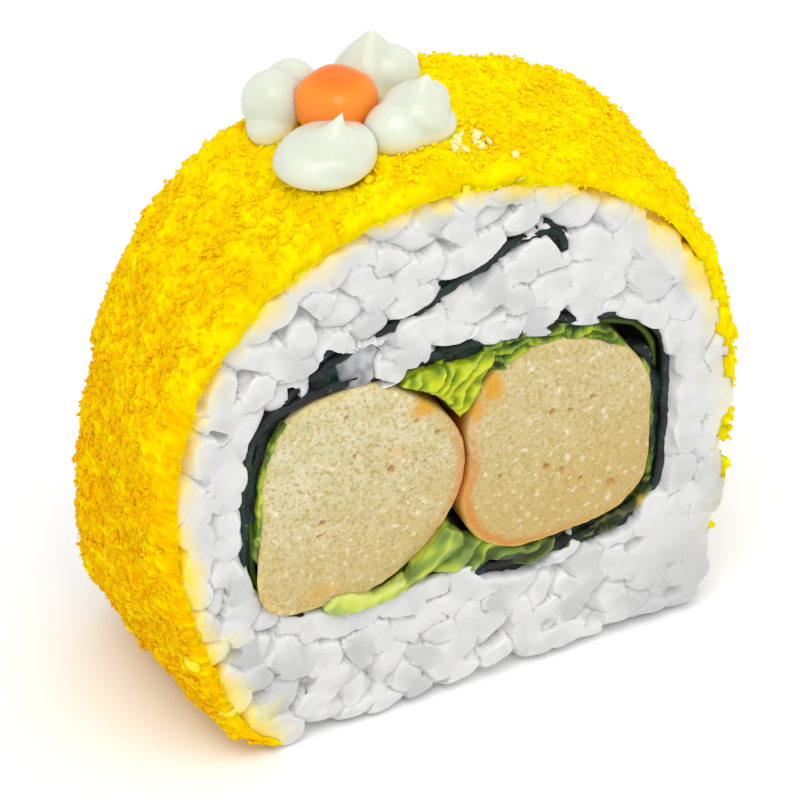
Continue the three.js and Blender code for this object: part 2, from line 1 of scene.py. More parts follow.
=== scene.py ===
# %% [markdown]
# # A slice of sushi roll in yellow crumb
#
# This lesson dresses one slice of an inside-out sushi roll. The real slice was rolled on a mat:
# a sheet of nori holds two pale fillings and a lettuce leaf, rice is pressed round it, and
# bright yellow crumb sticks to the rice. A cook cut it, laid it on its flat side and piped a
# small flower of cream on top, with a drop of orange sauce in the middle.
#
# The plain solids come in first, as a frame that never moves. Each later step makes one
# visible piece over its solid. All shapes are worked out in millimetres, and they become
# Blender's metres in one place only, where a mesh is made.

# %% Load the frame
import math

import bpy
import numpy as np
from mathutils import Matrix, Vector, noise
from mathutils.bvhtree import BVHTree
from mathutils.geometry import tessellate_polygon


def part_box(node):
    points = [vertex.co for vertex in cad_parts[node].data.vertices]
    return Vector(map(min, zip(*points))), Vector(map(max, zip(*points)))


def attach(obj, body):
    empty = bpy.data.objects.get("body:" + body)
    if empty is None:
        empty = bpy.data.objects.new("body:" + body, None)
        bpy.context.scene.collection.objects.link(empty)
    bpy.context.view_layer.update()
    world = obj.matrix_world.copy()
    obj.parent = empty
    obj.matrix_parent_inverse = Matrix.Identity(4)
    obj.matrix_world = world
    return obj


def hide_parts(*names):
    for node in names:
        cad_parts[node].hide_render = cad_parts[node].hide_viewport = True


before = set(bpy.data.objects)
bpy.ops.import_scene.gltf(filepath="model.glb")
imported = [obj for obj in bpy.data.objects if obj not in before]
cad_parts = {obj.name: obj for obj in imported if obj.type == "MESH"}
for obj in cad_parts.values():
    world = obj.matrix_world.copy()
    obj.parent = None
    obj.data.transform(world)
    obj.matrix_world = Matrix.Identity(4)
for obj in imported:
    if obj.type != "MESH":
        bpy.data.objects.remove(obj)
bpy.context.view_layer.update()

MM = 0.001
print("solids:", ", ".join(sorted(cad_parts)))

# %% [markdown]
# ## Reading the frame
# Rice grains and crumbs must lie where the solids are, so the script asks the solids. A BVH
# tree is a fast index of a mesh: it answers "what is the nearest point of the skin?" and
# "where does this ray hit?". The same answers could be typed in as tables of numbers, but
# then they would be wrong as soon as a solid changed.

# %% Points, triangles and trees of the solids
def points_of(mesh):
    """The corners of a mesh in millimetres."""
    points = np.empty(len(mesh.vertices) * 3)
    mesh.vertices.foreach_get("co", points)
    return points.reshape(-1, 3) / MM


def skin_of(mesh):
    """The corners of a mesh in millimetres, and its triangles."""
    mesh.calc_loop_triangles()
    triangles = np.empty(len(mesh.loop_triangles) * 3, dtype=np.int32)
    mesh.loop_triangles.foreach_get("vertices", triangles)
    return points_of(mesh), triangles.reshape(-1, 3)


def solid(node):
    return skin_of(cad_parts[node].data)


def tree_of(node):
    points, triangles = solid(node)
    return BVHTree.FromPolygons(points.tolist(), triangles.tolist())


RICE_TREE = tree_of("rice")
COAT_TREE = tree_of("coating")


def gap_to_coat(points):
    return np.array([COAT_TREE.find_nearest(Vector(p))[3] for p in points])


print("triangles in the rice solid:", len(solid("rice")[1]))

# %% [markdown]
# ## The slant of the slice
# No cook cuts a roll quite square. The near face stands upright, and the far face leans and
# has slid a little to the right, so the slice is thicker at its base. Every piece of the roll
# shares that slant. `at` turns a place on the straight roll (x, height, and how far through
# the slice) into a place on the real one.

# %% From the straight roll to the leaning slice
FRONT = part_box("coating")[0].y / MM
SLICE_DEPTH = -2 * FRONT
WEDGE = 3.2  # how much thicker the slice is at its base than at the middle
MID_HEIGHT = 25.0
TOP_HEIGHT = 50.0
SKEW = 1.6  # how far the far face has slid to the right


def thickness_at(z):
    return SLICE_DEPTH + WEDGE * (MID_HEIGHT - z) / MID_HEIGHT


def at(x, z, share):
    """Points of the slice: share is 0 at the near cut face and 1 at the far one."""
    x, z, share = np.broadcast_arrays(x, z, share)
    return np.stack([x + SKEW * share, FRONT + share * thickness_at(z), z], axis=-1)


print("thickness at the base:", thickness_at(0), "and at the top:", thickness_at(TOP_HEIGHT))

# %% [markdown]
# ## Meshes from arrays
# Thousands of grains and crumbs would take minutes if each were its own object made with an
# operator. Whole arrays of corners and faces are handed to Blender instead, in one call.

# %% Helpers that make and join meshes
def mesh_from(name, points, faces):
    faces = np.asarray(faces, dtype=np.int32)
    mesh = bpy.data.meshes.new(name)
    mesh.vertices.add(len(points))
    mesh.vertices.foreach_set("co", (np.asarray(points) * MM).ravel())
    mesh.loops.add(faces.size)
    mesh.loops.foreach_set("vertex_index", faces.ravel())
    mesh.polygons.add(len(faces))
    mesh.polygons.foreach_set("loop_start", np.arange(len(faces)) * faces.shape[1])
    mesh.update(calc_edges=True)
    mesh.shade_smooth()
    return mesh


def show(name, mesh, material, slot, *nodes):
    """Puts a finished mesh in the scene, in place of the solids that it stands for."""
    piece = bpy.data.objects.new(name, mesh)
    bpy.context.collection.objects.link(piece)
    mesh.materials.clear()
    mesh.materials.append(material)
    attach(piece, "root")
    if nodes:
        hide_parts(*nodes)
    mesh.calc_loop_triangles()
    print(name, "has", len(mesh.loop_triangles), "triangles")
    return piece


def joined(*parts):
    """Several (points, faces) pairs as one."""
    points = np.concatenate([p for p, _ in parts])
    starts = np.cumsum([0] + [len(p) for p, _ in parts[:-1]])
    faces = np.concatenate([f + start for (_, f), start in zip(parts, starts)])
    return points, faces


def split_quads(faces):
    return np.concatenate([faces[:, [0, 1, 2]], faces[:, [0, 2, 3]]])


def net(rows, columns, wrap=False):
    """The triangles of a net of points, row after row; wrap joins each row's end to its start."""
    across = columns if wrap else columns - 1
    row, column = np.meshgrid(np.arange(rows - 1), np.arange(across), indexing="ij")
    a = (row * columns + column).ravel()
    b = (row * columns + (column + 1) % columns).ravel()
    return split_quads(np.stack([a, b, b + columns, a + columns], axis=1))


def fan(pole, first, sides, flip=False):
    """The triangles between one point and the ring of points that starts at first."""
    column = np.arange(sides)
    following = (column + 1) % sides
    one, other = (following, column) if flip else (column, following)
    return np.stack([np.full(sides, pole), first + one, first + other], axis=1)


def set_points(mesh, points):
    mesh.vertices.foreach_set("co", (points * MM).ravel())
    mesh.update()


def mark(mesh, name, values):
    """Stores one number for each corner, which a material can read."""
    attribute = mesh.attributes.new(name, "FLOAT", "POINT")
    attribute.data.foreach_set("value", np.asarray(values, dtype=np.float32))


print("a net of 3 by 4 points has", len(net(3, 4)), "triangles")

# %% [markdown]
# ## Chance that repeats
# Food is uneven, so sizes and turns are drawn by chance. Every draw comes from a generator
# with a seed, so that each run makes the same slice. `copies` lays out many turned and scaled
# copies of one small shape as a single mesh.

# %% Turns, copies and bumps
def turned_along(along, roll):
    """Rotation matrices whose third axis is along, each rolled about it."""
    along = along / np.linalg.norm(along, axis=1, keepdims=True)
    helper = np.where(np.abs(along[:, 2:]) < 0.9, [[0, 0, 1.0]], [[1.0, 0, 0]])
    side = np.cross(helper, along)
    side /= np.linalg.norm(side, axis=1, keepdims=True)
    other = np.cross(along, side)
    cos, sin = np.cos(roll)[:, None], np.sin(roll)[:, None]
    return np.stack([cos * side + sin * other, cos * other - sin * side, along], axis=2)


def copies(shape, centres, turns, sizes):
    points, faces = shape
    placed = np.einsum("nij,nvj->nvi", turns, points[None] * sizes[:, None]) + centres[:, None]
    numbered = faces[None] + (np.arange(len(centres)) * len(points))[:, None, None]
    return placed.reshape(-1, 3), numbered.reshape(-1, faces.shape[1])


def bumps(points, size, seed=0.0):
    """Soft noise from about -1 to 1, with bumps of the given size in millimetres."""
    shifted = np.asarray(points) / size + (17.3 * seed, -9.1 * seed, 5.7 * seed)
    return np.array([noise.noise(Vector(p)) for p in shifted])


def eased(value, start, end):
    """0 up to start, 1 from end on, and smooth between them."""
    share = np.clip((np.asarray(value, dtype=float) - start) / (end - start), 0, 1)
    return share * share * (3 - 2 * share)


print("half way from 0 to 1, eased:", float(eased(0.5, 0, 1)))

# %% [markdown]
# ## Colours and finishes
# Each material is one Principled shader, fed by small noise patterns. Colours are written as
# they look on a screen, and `paint` turns them into the linear numbers that light is added
# up in. What is the same all over, such as gloss, is set on the shader itself.

# %% Helpers for materials
def paint(code):
    channels = [int(code[i : i + 2], 16) / 255 for i in (1, 3, 5)]
    linear = [c / 12.92 if c <= 0.04045 else ((c + 0.055) / 1.055) ** 2.4 for c in channels]
    return (*linear, 1.0)


def add(tree, kind, settings=None, **inputs):
    item = tree.nodes.new("ShaderNode" + kind)
    for name, value in (settings or {}).items():
        setattr(item, name, value)
    for name, value in inputs.items():
        socket = item.inputs[name.replace("_", " ")]
        if isinstance(value, bpy.types.NodeSocket):
            tree.links.new(value, socket)
        else:
            socket.default_value = value
    return item


class Finish:
    """A material in the making: its node tree, its shader and the place on the object."""

    def __init__(self, name, **sockets):
        self.material = bpy.data.materials.new(name)
        self.material.use_nodes = True
        self.tree = self.material.node_tree
        self.shader = self.tree.nodes["Principled BSDF"]
        self.place = add(self.tree, "TexCoord").outputs["Object"]
        for socket, value in sockets.items():
            self.shader.inputs[socket.replace("_", " ")].default_value = value

    def speckle(self, size, low=0.0, high=1.0, detail=2.0):
        """A number from 0 to 1 that varies in patches of about size millimetres."""
        pattern = add(self.tree, "TexNoise", Vector=self.place, Scale=1 / (size * MM), Detail=detail)
        ranged = add(self.tree, "MapRange", Value=pattern.outputs[0], From_Min=low, From_Max=high)
        return ranged.outputs[0]

    def marked(self, name):
        return add(self.tree, "Attribute", {"attribute_name": name}).outputs["Fac"]

    def blend(self, factor, first, second):
        item = add(self.tree, "Mix", {"data_type": "RGBA"}, Factor=factor)
        for socket, value in zip((item.inputs[6], item.inputs[7]), (first, second)):
            if isinstance(value, bpy.types.NodeSocket):
                self.tree.links.new(value, socket)
            else:
                socket.default_value = paint(value)
        return item.outputs[2]

    def colour(self, socket):
        self.tree.links.new(socket, self.shader.inputs["Base Color"])

    def rough(self, factor, low, high):
        ranged = add(self.tree, "MapRange", Value=factor, To_Min=low, To_Max=high)
        self.tree.links.new(ranged.outputs[0], self.shader.inputs["Roughness"])

    def relief(self, height, depth):
        """Fine relief of the given depth in millimetres, too fine to be modelled."""
        bump = add(self.tree, "Bump", Height=height, Distance=depth * MM)
        self.tree.links.new(bump.outputs[0], self.shader.inputs["Normal"])


print("a warm yellow as linear light:", [round(part, 3) for part in paint("#FFE600")[:3]])

# %% [markdown]
# ## Where the nori runs
# The sheet makes a squarish ring round the fillings, and its free end runs up through the
# rice like a flap. Rice, nori and leaf all need these two routes, so they come first.

# %% Routes of the nori
NORI_CENTRE = (0.5, 23.3)
RING_HALF_WIDTH = 19.45
RING_HALF_HEIGHT = 11.6
RING_SQUARENESS = 4.4
FLAP_ROUTE = [
    (-17.6, 31.3), (-15.4, 34.4), (-11.9, 36.5), (-8.4, 38.1), (-3.6, 39.5),
    (0.5, 41.4), (4.4, 43.2), (8.3, 43.5), (9.7, 42.5), (10, 41.2),
]


def ring_point(turn, outward=0.0):
    """(x, z) on the ring, turn radians clockwise from 12 o'clock, moved outward by a distance."""
    def raw(angle):
        across = np.abs(np.sin(angle)) / RING_HALF_WIDTH
        upward = np.abs(np.cos(angle)) / RING_HALF_HEIGHT
        power = RING_SQUARENESS - np.sin(2 * angle)
        radius = (across**power + upward**power) ** (-1 / power)
        return np.stack([
            NORI_CENTRE[0] + radius * np.sin(angle),
            NORI_CENTRE[1] + radius * np.cos(angle),
        ], axis=-1)

    turn = np.asarray(turn, dtype=float)
    along = raw(turn + 0.01) - raw(turn - 0.01)
    along /= np.linalg.norm(along, axis=-1, keepdims=True)
    normal = np.stack([-along[..., 1], along[..., 0]], axis=-1)
    return raw(turn) + normal * np.asarray(outward)[..., None]


def distance_along(points):
    return np.concatenate([[0], np.cumsum(np.linalg.norm(np.diff(points, axis=0), axis=1))])


def normals_along(route):
    """Directions of length 1 that are square to a flat route, on its left side."""
    along = np.gradient(route, axis=0)
    along /= np.linalg.norm(along, axis=1, keepdims=True)
    return np.stack([-along[:, 1], along[:, 0]], axis=1)


def smooth_route(corners, steps):
    """Evenly spaced points on a smooth curve through the corners."""
    corners = np.asarray(corners, dtype=float)
    padded = np.concatenate([[2 * corners[0] - corners[1]], corners, [2 * corners[-1] - corners[-2]]])
    fine = []
    for i in range(len(corners) - 1):
        a, b, c, d = padded[i : i + 4]
        t = np.linspace(0, 1, 20, endpoint=False)[:, None]
        fine.append(0.5 * (2 * b + (c - a) * t + (2 * a - 5 * b + 4 * c - d) * t**2
                           + (3 * b - a - 3 * c + d) * t**3))
    fine = np.concatenate([*fine, corners[-1:]])
    length = distance_along(fine)
    even = np.linspace(0, length[-1], steps)
    return np.stack([np.interp(even, length, fine[:, i]) for i in range(fine.shape[1])], axis=1)


print("the ring's top is at", ring_point(0.0).round(1), "mm")

# %% [markdown]
# ## Sheets that follow a route
# Nori, leaf and a thin bridge of rice all run along these routes through the whole slice. Each
# is made as one closed shell: a section is swept along the route and its ends are shut. That
# is more to write than a flat surface would be, but a closed shell has an inside, as a real
# sheet does.

# %% Shells along a route
def sheet_shell(route, normals, shares, thickness):
    """A closed thin shell as rows that each go round a section.
    route and normals are (steps, 2); shares is (steps, rows) through the slice."""
    sides = []
    for side in (0.5, -0.5):
        flat = route + side * thickness * normals
        sides.append(at(flat[:, None, 0], flat[:, None, 1], shares))
    outer, inner = sides
    return np.concatenate([outer, inner[:, ::-1]], axis=1)


def closed_skin(grid, closed_route):
    """Points and triangles of such a shell, with its two ends shut if it has any."""
    rows, columns, _ = grid.shape
    points = grid.reshape(-1, 3)
    if closed_route:
        return points, net(rows + 1, columns, wrap=True)[:, ::-1] % len(points)
    ends = []
    for row, flip in ((0, False), (rows - 1, True)):
        first = row * columns
        for i in range(columns // 2 - 1):
            quad = [first + i, first + i + 1, first + columns - 2 - i, first + columns - 1 - i]
            ends.append(quad[::-1] if flip else quad)
    faces = np.concatenate([net(rows, columns, wrap=True), split_quads(np.array(ends))])
    return points, faces[:, ::-1]


def shell_along_ring(turns, outward, thickness, shares, closed):
    route = ring_point(turns, np.full(len(turns), outward))
    normals = ring_point(turns, np.full(len(turns), outward + 1)) - route
    return closed_skin(sheet_shell(route, normals, shares, thickness), closed)


FLAP_STEPS = 110
flap_route = smooth_route(FLAP_ROUTE, FLAP_STEPS)
flap_normals = normals_along(flap_route)
print("the flap is", distance_along(flap_route)[-1].round(1), "mm long")

# %% [markdown]
# ## Pockets
# Rice hides most of the nori. It shows only in pockets where grains fell away or never
# reached. Each pocket is a rough flat outline on the near cut face, as (x, height) corners.
# The rice is pressed in there and black folds of nori are laid behind it. The flap shows as
# a line, so its pocket is made from a route and a width that changes along it.

# %% Outlines of the pockets
POCKETS = {
    "left band": [
        (-14.9, 36.2), (-14.9, 35.0), (-16.4, 33.1), (-17.1, 30.9), (-18.1, 28.4), (-18.7, 27.4),
        (-18.5, 25.2), (-18.9, 23.6), (-18.8, 20.6), (-18.0, 19.2), (-17.2, 19.9), (-17.6, 22.5),
        (-17.5, 27.7), (-16.5, 30.6), (-15.1, 32.9), (-13.6, 34.1), (-13.7, 35.8),
    ],
    "wedge": [
        (-12.8, 36.1), (-12.4, 37.2), (-11.5, 38.9), (-9.6, 37.7), (-7.6, 38.2), (-6.4, 37.1),
        (-7.2, 36.2), (-7.1, 34.6), (-5.3, 33.6), (-10.0, 33.9), (-12.6, 35.0),
    ],
    "middle": [
        (-3.6, 34.5), (-3.2, 35.0), (-1.9, 34.1), (-0.5, 35.7), (1.2, 35.6), (2.2, 34.9),
        (2.2, 34.2), (3.2, 33.5), (2.7, 32.7), (0.5, 32.9), (-2.4, 33.3),
    ],
    "right peak": [
        (8.1, 34.5), (9.1, 35.0), (9.9, 36.1), (10.3, 36.3), (10.5, 35.4), (11.2, 34.2), (9.1, 33.9),
    ],
    "right band": [
        (17.1, 29.4), (18.2, 28.8), (18.9, 26.5), (19.8, 24.3), (19.4, 21.9), (19.5, 19.4),
        (19.2, 16.6), (18.9, 14.7), (18.5, 15.3), (18.6, 19.8), (18.2, 24.1), (17.6, 27.2),
    ],
    "low right": [
        (18.0, 13.4), (17.8, 11.8), (16.8, 11.2), (14.9, 10.9), (13.1, 10.8), (11.0, 12.1),
        (12.4, 12.7), (14.4, 13.1), (16.3, 13.7),
    ],
    "low middle": [
        (1.8, 12.0), (2.5, 12.8), (3.4, 12.9), (5.0, 12.6), (7.9, 12.4), (11.4, 13.1),
        (11.2, 11.6), (9.6, 11.2), (8.3, 10.4), (6.6, 10.0), (4.3, 10.6), (2.9, 10.9),
    ],
}
FLAP_GAP = [
    # x, height, width
    (-11.0, 37.8, 0.3), (-9.0, 38.0, 0.15), (-7.4, 38.6, 0.2), (-6.0, 39.2, 0.4), (-4.3, 39.4, 0.2),
    (-3.0, 39.3, 0.2), (-2.0, 39.7, 0.85), (-1.0, 40.6, 0.75), (0.4, 41.2, 0.6), (1.2, 41.3, 0.6),
    (2.2, 41.5, 0.2), (3.6, 42.3, 0.5), (4.8, 43.0, 1.4), (6.0, 43.2, 0.75), (7.4, 43.5, 0.3),
    (8.7, 43.4, 1.1), (9.5, 42.5, 1.2), (10.0, 41.2, 0.95),
]


def line_outline(route):
    """The outline of a line with a changing width: up one side and back down the other."""
    route = smooth_route(route, 60)
    reach = normals_along(route[:, :2]) * route[:, 2:] / 2
    return np.concatenate([route[:, :2] + reach, (route[:, :2] - reach)[::-1]])


POCKETS["flap"] = line_outline(FLAP_GAP)


def depth_inside(corners, x, z):
    """How far inside a flat outline each place is, and less than 0 outside it."""
    corners = np.asarray(corners, dtype=float)
    inside = np.zeros(len(x), dtype=bool)
    nearest = np.full(len(x), np.inf)
    for (a, b), (c, d) in zip(corners, np.roll(corners, -1, axis=0)):
        length = (c - a) ** 2 + (d - b) ** 2 + 1e-12
        share = np.clip(((x - a) * (c - a) + (z - b) * (d - b)) / length, 0, 1)
        nearest = np.minimum(nearest, np.hypot(x - a - share * (c - a), z - b - share * (d - b)))
        if b != d:
            inside ^= ((b > z) != (d > z)) & (x < a + (z - b) / (d - b) * (c - a))
    return np.where(inside, nearest, -nearest)


print("pockets:", ", ".join(POCKETS))

# %% [markdown]
# ## Rice: the grain
# A boiled grain of short-grain rice is about 5 mm long and 3 mm thick. Pressed in a roll it
# becomes blocky, with flat sides and round corners. So the grain is a superellipsoid: the
# formula of an ellipsoid with a lower power, which moves it towards a rounded box.

# %% One grain
GRAIN_LENGTH = 4.5
GRAIN_WIDTH = 3.0
GRAIN_THICKNESS = 2.6
GRAIN_BLUNTNESS = 0.66


def blunted(value, power=GRAIN_BLUNTNESS):
    return np.sign(value) * np.abs(value) ** power


def ball(bands, sides, shaped=lambda value: value):
    """A closed ball of diameter 1, pole to pole along its third axis."""
    up = np.linspace(0, math.pi, bands + 1)[1:-1, None]
    round_ = np.linspace(0, 2 * math.pi, sides, endpoint=False)[None]
    x = shaped(np.sin(up)) * shaped(np.cos(round_))
    y = shaped(np.sin(up)) * shaped(np.sin(round_))
    z = shaped(np.cos(up)) + 0 * round_
    middle = np.stack([x, y, z], axis=-1).reshape(-1, 3)
    points = np.concatenate([middle, [[0, 0, 1], [0, 0, -1]]]) / 2
    top = len(middle)
    caps = [fan(top, 0, sides), fan(top + 1, top - sides, sides, flip=True)]
    return points, np.concatenate([net(bands - 1, sides, wrap=True)[:, ::-1], *caps])


GRAIN = ball(14, 16, blunted)
print("a grain is", GRAIN_LENGTH, "x", GRAIN_WIDTH, "x", GRAIN_THICKNESS, "mm")

# %% [markdown]
# ## Rice: where the grains lie
# First come the grains that hide the nori: they lie along the ring wherever it has no pocket.
# The rest are dropped at random on the cut face and kept if they don't crowd one that is
# already there. This is dart throwing, and it spreads things evenly without making a grid.
# Near an edge the grains lie along it, as the mat and the nori pressed them.

# %% Finding places for grains
PROBE_SHARE = 0.15  # how far through the slice a place is tested
NORI_ROOM = 1.3  # how far the grains keep from the middle of the ring
RIM_ROOM = 1.0  # how far they keep from the skin of the rice
RIM_BAND = 2.2  # within this of the skin they lie along it
FLOOR_ROOM = 0.9
# From and to in degrees clockwise from 12 o'clock on the ring, and how far out the grains lie.
COVERED = [
    (8, 33, 0.75), (43, 66, 0.8), (137, 150, 0.5), (172, 196, 0.2), (196, 212, 0.4), (212, 258, 0.9),
    (258, 300, 1.5), (303, 309, 0.8), (331, 343, 0.8),
]
COVER_SPACING = 2.3
# Grains that slipped over the edge of the coating, and one in the wedge, as (x, height, heading).
STRAYS = [(-21.9, 12.2, 0.3), (-20.3, 6.6, 1.2), (-18.4, 3.7, 1.9), (-6.1, 34.9, 0.2)]


def grains_over_ring():
    found = list(STRAYS)
    steps = 80
    for start, end, room in COVERED:
        path = ring_point(np.radians(np.linspace(start, end, steps)), np.full(steps, room))
        length = distance_along(path)
        count = max(1, round(length[-1] / COVER_SPACING))
        for spot in (np.arange(count) + 0.5) / count * length[-1]:
            i = min(np.searchsorted(length, spot), steps - 2)
            along = path[i + 1] - path[i]
            found.append((*path[i], math.atan2(along[1], along[0])))
    return found


def places_on_face(share, seed, spacing, tries, first=()):
    """(x, z, heading) of grains on the cut face nearest to that share of the slice."""
    chance = np.random.default_rng(seed)
    low, high = (np.array(corner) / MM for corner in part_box("rice"))
    ring_places = ring_point(np.linspace(0, 2 * math.pi, 150))
    found = list(first)
    for _ in range(tries):
        x, z = chance.uniform(low[0], high[0]), chance.uniform(FLOOR_ROOM, high[2])
        heading = chance.uniform(0, math.pi)
        if any((x - a) ** 2 + (z - b) ** 2 < spacing**2 for a, b, _ in found):
            continue
        probe = Vector(at(x, z, share))
        near, outward, _, gap = RICE_TREE.find_nearest(probe)
        if (probe - near).dot(outward) > 0 or gap < 0.3:
            continue
        ring_gap = np.hypot(ring_places[:, 0] - x, ring_places[:, 1] - z).min()
        if ring_gap < NORI_ROOM or (ring_gap > RIM_ROOM + 1 and gap < RIM_ROOM):
            continue
        if gap < RIM_BAND:
            away = probe - near
            heading = math.atan2(away.x, -away.z) + chance.uniform(-0.3, 0.3)
        found.append((x, z, heading))
    return np.array(found)


front_places = places_on_face(PROBE_SHARE, seed=11, spacing=2.1, tries=7000, first=grains_over_ring())
front_under = places_on_face(PROBE_SHARE, seed=12, spacing=2.3, tries=5000)
back_places = places_on_face(1 - PROBE_SHARE, seed=23, spacing=2.1, tries=7000)
back_under = places_on_face(1 - PROBE_SHARE, seed=24, spacing=2.4, tries=4000)
print("grains on the near face:", len(front_places), "and under them:", len(front_under))

# %% [markdown]
# ## Rice: grains become one mass
# Pressed rice is sticky: its grains touch, fuse and let light through as one body. So all
# grains and a plain core are put into one mesh, which a voxel remesh turns into one closed
# skin. The core is the frame's own rice, pressed back from the cut faces so that only the
# fine grains show.

# %% Laying the grains
CORE_RECESS = 1.4
# How deep behind the cut face each layer begins and ends.
TOP_LAYER = (0.35, 1.15)
UNDER_LAYER = (1.3, 1.9)
BRIDGE_DEPTHS = (0.7, 2.0)
BRIDGE_WIDTH = 1.9
BRIDGE_OUTWARD = 0.8
BRIDGE_STEPS = 180
GRAIN_SIZES = (0.8, 1.1)
GRAIN_UNEVENNESS = (0.88, 1.1)
GRAIN_TILT = 0.3


def face_grains(places, depths, seed, far=False):
    chance = np.random.default_rng(seed)
    count = len(places)
    share = chance.uniform(*depths, count) / SLICE_DEPTH
    centres = at(places[:, 0], places[:, 1], 1 - share if far else share)
    tilt = chance.normal(0, GRAIN_TILT, count)
    heading = places[:, 2]
    flat = np.cos(tilt)
    along = np.stack([np.cos(heading) * flat, np.sin(tilt), np.sin(heading) * flat], axis=1)
    size = chance.uniform(*GRAIN_SIZES, count)[:, None] * (GRAIN_WIDTH, GRAIN_THICKNESS, GRAIN_LENGTH)
    size = size * chance.uniform(*GRAIN_UNEVENNESS, (count, 3))
    return copies(GRAIN, centres, turned_along(along, chance.uniform(0, math.pi, count)), size)


def pressed_core():
    """The frame's rice with both grainy faces pressed back."""
    points, faces = solid("rice")
    thick = thickness_at(points[:, 2])
    points[:, 1] = np.clip(points[:, 1], FRONT + CORE_RECESS, FRONT + thick - CORE_RECESS)
    return points, faces


def rice_over_nori():
    """Thin bridges of rice in front of the nori, so that it shows in the pockets alone."""
    turns = np.linspace(0, 2 * math.pi, BRIDGE_STEPS, endpoint=False)
    depths = np.linspace(*BRIDGE_DEPTHS, 3) / SLICE_DEPTH
    ring_depths = np.tile(depths, (BRIDGE_STEPS, 1))
    flap_depths = np.tile(depths, (FLAP_STEPS, 1))
    flap = sheet_shell(flap_route, flap_normals, flap_depths, BRIDGE_WIDTH)
    return [
        shell_along_ring(turns, BRIDGE_OUTWARD, BRIDGE_WIDTH, ring_depths, True),
        closed_skin(flap, False),
    ]


rice_parts = [
    pressed_core(),
    *rice_over_nori(),
    face_grains(front_places, TOP_LAYER, seed=31),
    face_grains(front_under, UNDER_LAYER, seed=32),
    face_grains(back_places, TOP_LAYER, seed=33, far=True),
    face_grains(back_under, UNDER_LAYER, seed=34, far=True),
]
print("to be fused:", sum(len(faces) for _, faces in rice_parts), "triangles")

# %% [markdown]
# ## One skin round many parts
# Three modifiers turn a heap of overlapping parts into one body. A voxel remesh wraps them in
# a closed skin, smoothing rounds the joins off, and decimation thins the triangles out. Their
# result is taken as a new mesh, so that no modifier is left on the finished piece. Rice, nori
# folds, leaf and cream are all made this way.

# %% Fusing
def fused(name, parts, voxel, smooth_steps=2, reshaped=None, keep=None):
    """One closed skin round overlapping parts, smoothed and reshaped, with about keep triangles."""
    source = bpy.data.objects.new(name, mesh_from(name, *joined(*parts)))
    bpy.context.collection.objects.link(source)
    remesh = source.modifiers.new("one skin", "REMESH")
    remesh.mode = "VOXEL"
    remesh.voxel_size = voxel * MM
    soften = source.modifiers.new("soften", "SMOOTH")
    soften.iterations = smooth_steps
    soften.factor = 0.5

    def result():
        graph = bpy.context.evaluated_depsgraph_get()
        return bpy.data.meshes.new_from_object(source.evaluated_get(graph))

    mesh = result()
    if reshaped:
        set_points(mesh, reshaped(points_of(mesh)))
    mesh.calc_loop_triangles()
    made = len(mesh.loop_triangles)
    if keep and made > keep:
        source.modifiers.clear()
        source.data = mesh
        thin = source.modifiers.new("fewer triangles", "DECIMATE")
        thin.ratio = keep / made
        thin.use_collapse_triangulate = True
        mesh = result()
    bpy.data.objects.remove(source)
    mesh.name = name
    mesh.shade_smooth()
    print(name, "fused from", made, "triangles")
    return mesh


# %% [markdown]
# ## Rice: the cut face
# The knife and the board leave the cut face nearly flat. What tells the grains apart is that
# each lies at its own slight tilt, with a shallow crease to its neighbours. This relief is
# worked out for each corner of the mesh from the grain that is nearest to it.

# %% Relief of the grains
FACET_TILT = 0.15
FACET_LIFT = 0.17
SUNKEN_SHARE = 0.1  # so many of the grains have sunk back
SUNKEN_DEPTH = 0.45
GRAIN_CROWN = 0.3
SLANT_LIMIT = 0.4
CREASE_DEPTH = 0.28
CREASE_WIDTH = 0.2
BLOCKINESS = 2.6
# The lower right corner was smeared flat: no relief from this x on and below this height.
SMEARED_X = (13.0, 22.0)
SMEARED_Z = (13.0, 5.0)
WIPED_X = (8.0, 20.0)  # towards the right the whole face is somewhat flatter


# Painted shade: besides its flatter relief, this corner is painted grey in the rice's finish.
def smeared_and_painted_shade(points):
    return eased(points[:, 0], *SMEARED_X) * eased(points[:, 2], *SMEARED_Z)


def smoothed(points):
    """How flat the rice was wiped: somewhat on the right, and most in the low corner."""
    return np.maximum(0.8 * smeared_and_painted_shade(points), 0.5 * eased(points[:, 0], *WIPED_X))


